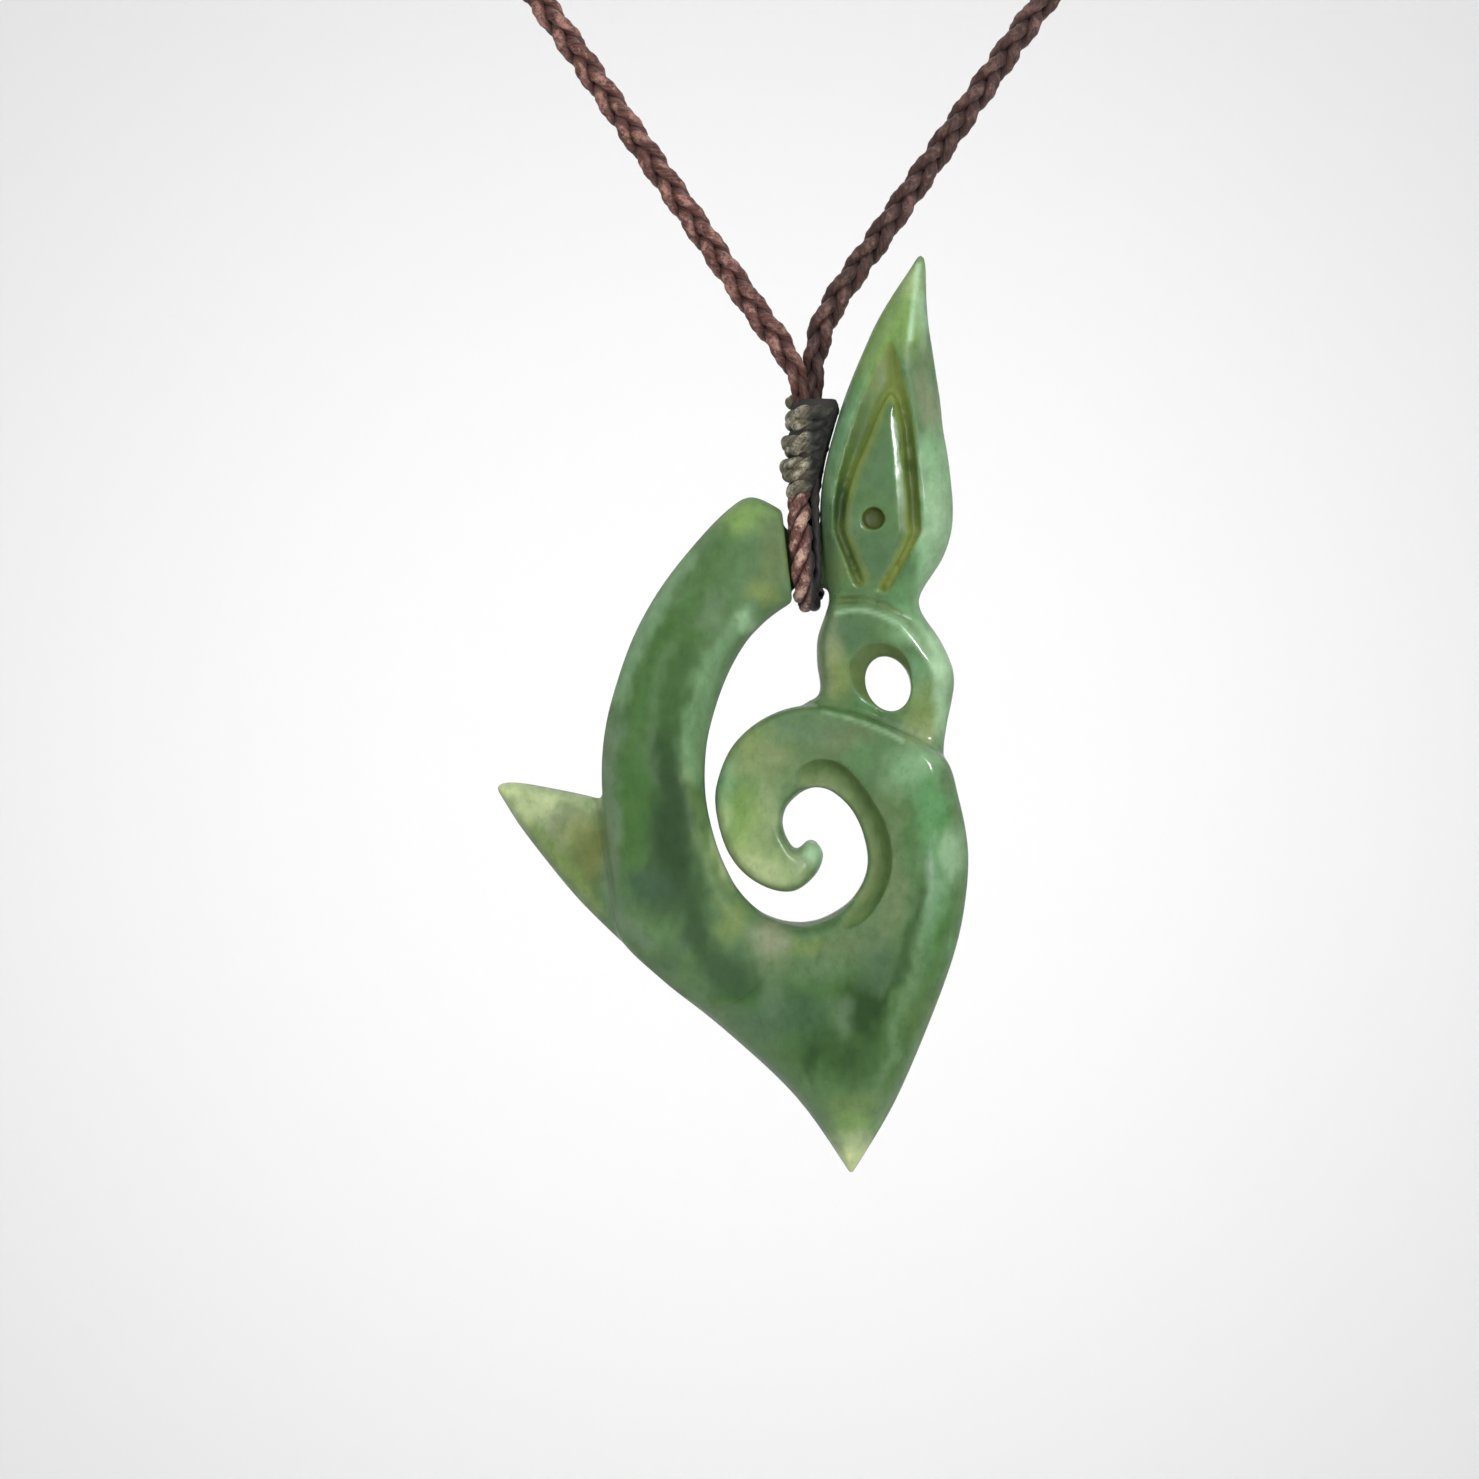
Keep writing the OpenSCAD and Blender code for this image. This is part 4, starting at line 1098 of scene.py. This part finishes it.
def knot_route(length, radius, middle, cord_r):
    """Middle of the cord wound round the nape knot, with both ends tucked in."""
    route = []
    steps = KNOT_WRAP_POINTS * KNOT_WRAPS
    for i in range(steps + 1):
        share = i / steps
        angle = 2 * math.pi * (KNOT_WRAPS - 1) * share - math.pi / 2
        out = min(1, KNOT_TUCK_RATE * share, KNOT_TUCK_RATE * (1 - share))
        r = (radius - cord_r) * (KNOT_TUCK_RADIUS + (1 - KNOT_TUCK_RADIUS) * out)
        x = -length / 2 + cord_r + (length - 2 * cord_r) * share
        route.append(middle + Vector((x, r * math.cos(angle), r * math.sin(angle))))
    return route


class Tree:
    """A material's node tree, with short calls for the nodes that these materials use."""

    def __init__(self, name, **settings):
        self.material = bpy.data.materials.new(name)
        self.material.use_nodes = True
        self.nodes = self.material.node_tree.nodes
        self.links = self.material.node_tree.links
        self.shader = self.nodes["Principled BSDF"]
        for key, value in settings.items():
            self.shader.inputs[key.replace("_", " ")].default_value = value

    def add(self, kind, inputs=None, **settings):
        """A new node. Each input takes a value or the socket of another node."""
        node = self.nodes.new("ShaderNode" + kind)
        for key, value in settings.items():
            setattr(node, key, value)
        for key, value in (inputs or {}).items():
            if isinstance(value, bpy.types.NodeSocket):
                self.links.new(value, node.inputs[key])
            else:
                node.inputs[key].default_value = value
        return node

    def place(self):
        return self.add("TexCoord").outputs["Object"]

    def attribute(self, name, output):
        return self.add("Attribute", attribute_name=name).outputs[output]

    def parts(self, vector):
        return self.add("SeparateXYZ", {0: vector}).outputs

    def math(self, operation, a, b=0.0):
        return self.add("Math", {0: a, 1: b}, operation=operation).outputs[0]

    def ramp(self, value, low, high, to_low=0.0, to_high=1.0):
        """Smooth step of a value between low and high."""
        return self.add("MapRange", {
            "Value": value, "From Min": low, "From Max": high, "To Min": to_low, "To Max": to_high},
            interpolation_type="SMOOTHSTEP").outputs["Result"]

    def drawn_ramp(self, place, axis, low, high, to_low=0.0, to_high=1.0):
        """Smooth step along an axis, between two places in the stone's own millimetres."""
        return self.ramp(self.parts(place)[axis], HANG[axis] + low * DRAWN_UNIT,
                         HANG[axis] + high * DRAWN_UNIT, to_low, to_high)

    def mix(self, factor, a, b, blend="MIX"):
        return self.add("Mix", {0: factor, 6: a, 7: b}, data_type="RGBA", blend_type=blend).outputs[2]

    def noise(self, vector, scale, detail=2.0, roughness=0.5):
        return self.add("TexNoise", {
            "Vector": vector, "Scale": scale, "Detail": detail, "Roughness": roughness}).outputs["Fac"]

    def to_shader(self, key, value):
        self.links.new(value, self.shader.inputs[key])

    def bump(self, height, strength, distance):
        node = self.add("Bump", {"Height": height, "Strength": strength, "Distance": distance})
        self.to_shader("Normal", node.outputs["Normal"])


def colour(value):
    return (*value, 1.0)


def jade_material():
    """Polished jade: the painted clouds, with painted light and shade among them, mottled finely, with soft
    depth and a clear gloss.
    """
    tree = Tree("polished jade", IOR=1.6, Specular_IOR_Level=0.3, Subsurface_Weight=0.35,
                Subsurface_Scale=0.0012, Subsurface_Radius=(0.9, 1.0, 0.7))
    shrink = 1 / DRAWN_UNIT
    local = tree.add("Mapping", {
        "Vector": tree.place(), "Location": -HANG * shrink, "Scale": (shrink, shrink, shrink)}).outputs[0]
    paint = tree.attribute("tint", "Color")
    noises = {}
    for name, (stretch, scale, detail, roughness) in MOTTLE_NOISES.items():
        vector = tree.add("Mapping", {"Vector": local, "Scale": stretch}).outputs[0]
        noises[name] = tree.noise(vector, scale, detail, roughness)
    for name, low, high, to_low, to_high, tint in MOTTLES:
        factor = tree.ramp(noises[name], low, high, to_low, to_high)
        paint = tree.mix(factor, paint, colour(tint), "MULTIPLY")
    tree.to_shader("Base Color", paint)
    tree.to_shader("Roughness", tree.attribute("rough", "Fac"))
    tree.bump(tree.noise(local, 0.9, 3.0), 0.04, 0.0004)
    return tree.material


def cord_material(name, dark, light, worn_and_highlight, shade=None):
    """Waxed fibre cord: fine fibres along each strand, dark between them, with painted shade where a point
    lies low between the strands, and paler on rubbed crowns, partly as painted highlight. A shade, if
    given, blackens it with painted shade.
    """
    tree = Tree(name, Roughness=0.5, Specular_IOR_Level=0.35, Sheen_Weight=0.08, Sheen_Roughness=0.5)
    along, around = tree.parts(tree.add("UVMap", uv_map="lay").outputs["UV"])[:2]
    turned = tree.math("SUBTRACT", around, tree.math("MULTIPLY", along, 1 / FIBRE_PITCH))
    lay = tree.add("CombineXYZ", {
        0: tree.math("MULTIPLY", along, FIBRE_ALONG), 1: tree.math("MULTIPLY", turned, FIBRE_AROUND)})
    fibre = tree.noise(lay.outputs[0], 1.6, 3.0, 0.6)
    place = tree.place()
    patchy = tree.noise(place, 800.0, 6.0, 0.82)
    crown = tree.attribute("crown", "Fac")
    paint = tree.mix(tree.ramp(fibre, 0.36, 0.62), colour(dark), colour(light))
    # Paler rubbed crowns, partly painted highlight
    wear_and_highlight = tree.math("MULTIPLY", tree.ramp(patchy, 0.47, 0.62), tree.ramp(crown, 0.70, 0.95))
    paint = tree.mix(wear_and_highlight, paint, colour(worn_and_highlight))
    # Painted shade: darker where a point lies low between the strands
    paint = tree.mix(tree.ramp(crown, 0.55, 0.85, 0.6, 0.0), paint, colour(dark))
    # Painted shade in black, where the given shade function puts it
    if shade:
        paint = tree.mix(shade(tree, place), paint, colour(PAINTED_SHADE_BLACK))
    tree.to_shader("Base Color", paint)
    tree.bump(fibre, 0.6, 0.00012)
    return tree.material


def painted_shade_binding(tree, place):
    """How much painted shade blackens the binding: the side that faces the head, but for its top turns."""
    side = tree.drawn_ramp(place, 0, -0.70, 0.10)
    low = tree.drawn_ramp(place, 2, 10.6, 12.4, 1.0, 0.6)
    return tree.math("MULTIPLY", side, low)


def painted_shade_loop(tree, place):
    """How much painted shade blackens the loop: the side that faces the head and the half behind the
    bridge.
    """
    side = tree.drawn_ramp(place, 0, -0.50, 0.05)
    behind = tree.drawn_ramp(place, 1, -1.2, 0.6)
    return tree.math("MAXIMUM", side, behind)


# The core's black, carried out on the side of the head, is partly painted shade between binding and head.
def core_material():
    tree = Tree("packed core", Roughness=0.8)
    wax = tree.noise(tree.place(), 900.0)
    tree.to_shader("Base Color", tree.mix(wax, *(colour(tone) for tone in CORE_TONES)))
    return tree.material


def floor_material():
    """Pale matt floor, with a painted pool of light on the wall behind the pendant."""
    tree = Tree("pale floor", Roughness=0.9)
    x, y, z = tree.parts(tree.place())
    flat = tree.add("CombineXYZ", {0: x, 2: z}).outputs[0]
    away = tree.add("VectorMath", {0: flat, 1: VIEW_MIDDLE}, operation="DISTANCE").outputs["Value"]
    light = tree.math("MULTIPLY", tree.ramp(away, 0.08, 0.62, 1.0, 0.0), tree.ramp(y, 0.0, 0.5))
    tree.to_shader("Base Color", tree.mix(light, *(colour(tone) for tone in FLOOR_TONES)))
    return tree.material


def tone_property(name, text, value):
    return bpy.props.FloatVectorProperty(name=name, description=text, subtype="COLOR", default=value)


class StoneTones(bpy.types.PropertyGroup):
    """Colours of the stone, one property for each row of the table of tones"""
    __annotations__ = {
        name: tone_property(name.replace("_", " ").capitalize(), text, value)
        for name, (text, value) in TONES.items()}


class PendantSizes(bpy.types.PropertyGroup):
    stone_thickness: bpy.props.FloatProperty(
        name="Stone thickness", description="Thickness of the arm and the body, in drawn millimetres",
        default=7.5, min=7.0, max=8.2)
    stone_grid: bpy.props.FloatProperty(
        name="Stone grid", description="Size of the carved stone's faces, in drawn millimetres",
        default=0.219, min=0.218, max=0.4)
    plait_width: bpy.props.FloatProperty(
        name="Plait width", description="Width of the plaited neck cord in millimetres", default=2.1)
    plait_period: bpy.props.FloatProperty(
        name="Plait period", description="Length in which a strand of the plait crosses and comes back",
        default=8.8)
    loop_diameter: bpy.props.FloatProperty(
        name="Loop diameter", description="Diameter of the twisted hanging loop in millimetres",
        default=1.85)
    thread_diameter: bpy.props.FloatProperty(
        name="Thread diameter", description="Diameter of the binding thread in millimetres", default=1.05)


class PENDANT_OT_stone(bpy.types.Operator):
    """Carve the manaia from lofted bands, with its grooves, eye, hole and cove"""
    bl_idname = "pendant.stone"
    bl_label = "Carve stone"

    def execute(self, context):
        sizes = context.scene.pendant
        obj, depths = carved_stone(sizes.stone_thickness, sizes.stone_grid)
        obj.name = "carved_stone"
        paint_stone(obj, sizes.stone_thickness, depths, context.scene.stone_tones)
        finish_piece(obj, jade_material(), HANG, DRAWN_UNIT, "pendant", "stone")
        return {"FINISHED"}


class PENDANT_OT_neck_cords(bpy.types.Operator):
    """Plait the two halves of the neck cord from the nape to the binding"""
    bl_idname = "pendant.neck_cords"
    bl_label = "Plait neck cords"

    def execute(self, context):
        sizes = context.scene.pendant
        for way, side, ends in ((1, "right", RIGHT_END), (-1, "left", LEFT_END)):
            skin = Skin()
            plait(skin, half_route(way, ends), sizes.plait_width, sizes.plait_period)
            material = cord_material("waxed plait " + side, *CORD_TONES["plait_" + side])
            finish_piece(skin.piece("plaited_cord_" + side), material, (0, 0, 0), MM,
                         "necklace", "neck_cord_" + side)
        return {"FINISHED"}


class PENDANT_OT_loop(bpy.types.Operator):
    """Twist the loop of cord round the bridge of the stone, with its black strand"""
    bl_idname = "pendant.loop"
    bl_label = "Twist hanging loop"

    def execute(self, context):
        def outward(at):
            return Vector((1, 0, 0))

        diameter = context.scene.pendant.loop_diameter
        skin = Skin()
        twist(skin, loop_route(diameter), diameter / 2, LOOP_GAP, outward)
        line = resample(smooth_line(BLACK_STRAND, LOOP_STEPS), THREAD_GAP)
        radius = BLACK_STRAND_WIDTH / 2
        skin.tube(line, plied(radius, *BLACK_PLIES), BLACK_SIDES, outward, 0.5,
                  [at for at, distance in line], radius)
        material = cord_material("waxed loop cord", *CORD_TONES["loop"], shade=painted_shade_loop)
        finish_piece(skin.piece("twisted_loop"), material, HANG, DRAWN_UNIT,
                     "necklace", "hanging_loop")
        return {"FINISHED"}


class PENDANT_OT_binding(bpy.types.Operator):
    """Wind the thread of the binding round the cords, over a packed core"""
    bl_idname = "pendant.binding"
    bl_label = "Wind binding"

    def execute(self, context):
        def outward(at):
            return Vector((0.02, 0.01, 1))

        def ring(distance, angle):
            share, rate = THREAD_BUMPS
            return plies(distance, angle) * (1 + share * math.sin(rate * distance))

        thread = context.scene.pendant.thread_diameter
        plies = plied(thread / 2, *THREAD_PLIES)
        line = resample(thread_route(thread), THREAD_GAP)
        skin = Skin()
        skin.tube(line, ring, THREAD_SIDES, outward, 0, [at for at, distance in line],
                  THREAD_CROWN * thread / 2)
        material = cord_material("waxed binding thread", *CORD_TONES["thread"], shade=painted_shade_binding)
        for obj, look in (
                (skin.piece("binding_thread"), material),
                (loft("binding_core", core_rings(thread)), core_material())):
            finish_piece(obj, look, HANG, DRAWN_UNIT, "necklace", "binding")
        return {"FINISHED"}


class PENDANT_OT_knot(bpy.types.Operator):
    """Wind the knot at the nape that joins the two halves of the neck cord"""
    bl_idname = "pendant.knot"
    bl_label = "Wind nape knot"

    def execute(self, context):
        low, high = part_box("nape_knot")
        length, radius = (high.x - low.x) / MM, (high.z - low.z) / MM / 2
        cord_r = length / KNOT_WRAPS / 2
        skin = Skin()
        twist(skin, knot_route(length, radius, (low + high) / 2 / MM, cord_r), cord_r * KNOT_SWELL,
              KNOT_GAP, lambda at: Vector((1, 0.01, 0)))
        material = cord_material("waxed knot cord", *CORD_TONES["knot"])
        finish_piece(skin.piece("nape_knot_wraps"), material, (0, 0, 0), MM,
                     "necklace", "nape_knot")
        return {"FINISHED"}


def room():
    """The floor: a disc whose rim curves up into a round wall."""
    inner = ROOM_RADIUS - ROOM_CURVE
    profile = []
    for step in range(1, ROOM_STEPS + 1):
        angle = math.pi / 2 * step / ROOM_STEPS
        profile.append((
            inner + ROOM_CURVE * math.sin(angle), FLOOR_Z + ROOM_CURVE * (1 - math.cos(angle))))
    profile.append((ROOM_RADIUS, FLOOR_Z + WALL_HEIGHT))
    pick()
    bpy.ops.mesh.primitive_circle_add(
        vertices=ROOM_SIDES, radius=inner, fill_type="NGON", location=(0, 0, FLOOR_Z))
    floor = bpy.context.object
    floor.name = "floor"
    bpy.ops.object.transform_apply(location=True, rotation=True, scale=True)
    bpy.ops.object.mode_set(mode="EDIT")
    bpy.ops.mesh.select_all(action="DESELECT")
    mesh = bmesh.from_edit_mesh(floor.data)
    for edge in mesh.edges:
        edge.select = edge.is_boundary
    bmesh.update_edit_mesh(floor.data)
    for radius, height in profile:
        bpy.ops.mesh.extrude_region_move()
        mesh = bmesh.from_edit_mesh(floor.data)
        for vert in mesh.verts:
            if vert.select:
                flat = Vector((vert.co.x, vert.co.y, 0)).normalized() * radius
                vert.co = (flat.x, flat.y, height)
        bmesh.update_edit_mesh(floor.data)
    turn_faces(True)
    bpy.ops.object.shade_smooth()
    return floor


def place_light(name, kind, place, way, power, **settings):
    """A light at a place that shines one way and isn't seen itself."""
    data = bpy.data.lights.new(name, kind)
    data.energy = power
    for key, value in settings.items():
        setattr(data, key, value)
    light = bpy.data.objects.new(name, data)
    light.location = place
    light.rotation_euler = way.to_track_quat("-Z", "Y").to_euler()
    light.visible_camera = False
    bpy.context.scene.collection.objects.link(light)
    return light


def set_lights():
    aim = HANG + Vector((0, 0, -AIM_BELOW))
    for name, way, width, height, power, glossy in LIGHTS:
        light = place_light(name, "AREA", aim + Vector(way), -Vector(way), power,
                            shape="RECTANGLE", size=width, size_y=height)
        light.visible_glossy = glossy
    spot = place_light(
        "backdrop", "SPOT", (VIEW_MIDDLE.x, BACKDROP_Y, VIEW_MIDDLE.z), Vector((0, 1, 0)), BACKDROP_POWER,
        spot_size=BACKDROP_ANGLE, spot_blend=1.0, shadow_soft_size=0.1)
    spot.visible_glossy = False


def set_world(scene):
    world = bpy.data.worlds.new("studio")
    world.use_nodes = True
    background = world.node_tree.nodes["Background"]
    background.inputs[0].default_value = (1, 1, 1, 1)
    background.inputs[1].default_value = WORLD_LIGHT
    scene.world = world
    scene.view_settings.view_transform = "Standard"
    scene.view_settings.look = "None"


def set_camera(scene):
    data = bpy.data.cameras.new("camera")
    data.sensor_width = SENSOR_WIDTH
    data.lens = SENSOR_WIDTH * CAMERA_DISTANCE / VIEW_WIDTH
    data.clip_start = 0.01
    data.clip_end = 20
    camera = bpy.data.objects.new("camera", data)
    camera.location = (VIEW_MIDDLE.x, HANG.y - CAMERA_DISTANCE, VIEW_MIDDLE.z)
    camera.rotation_euler = (math.pi / 2, 0, 0)
    scene.collection.objects.link(camera)
    scene.camera = camera


class PENDANT_OT_stage(bpy.types.Operator):
    """Set up the pale floor that curves up all round, the soft lights and the camera"""
    bl_idname = "pendant.stage"
    bl_label = "Set up stage"

    def execute(self, context):
        floor = room()
        floor.data.materials.append(floor_material())
        set_world(context.scene)
        set_lights()
        set_camera(context.scene)
        return {"FINISHED"}


STEPS = (
    PENDANT_OT_stage, PENDANT_OT_neck_cords, PENDANT_OT_knot, PENDANT_OT_binding, PENDANT_OT_loop,
    PENDANT_OT_stone)


class PENDANT_PT_panel(bpy.types.Panel):
    """Lists the pieces of the pendant"""
    bl_idname = "PENDANT_PT_panel"
    bl_label = "Greenstone pendant"
    bl_space_type = "VIEW_3D"
    bl_region_type = "UI"
    bl_category = "Pendant"

    def draw(self, context):
        for name in PendantSizes.__annotations__:
            self.layout.prop(context.scene.pendant, name)
        for name in TONES:
            self.layout.prop(context.scene.stone_tones, name)
        for step in STEPS:
            self.layout.operator(step.bl_idname)


CLASSES = (PendantSizes, StoneTones, *STEPS, PENDANT_PT_panel)


def register():
    for kind in CLASSES:
        bpy.utils.register_class(kind)
    bpy.types.Scene.pendant = bpy.props.PointerProperty(type=PendantSizes)
    bpy.types.Scene.stone_tones = bpy.props.PointerProperty(type=StoneTones)


def unregister():
    del bpy.types.Scene.stone_tones
    del bpy.types.Scene.pendant
    for kind in reversed(CLASSES):
        bpy.utils.unregister_class(kind)


def main():
    register()
    bpy.ops.pendant.stage()
    bpy.ops.pendant.neck_cords()
    bpy.ops.pendant.knot()
    bpy.ops.pendant.binding()
    bpy.ops.pendant.loop()
    bpy.ops.pendant.stone()


if __name__ == "__main__":
    main()
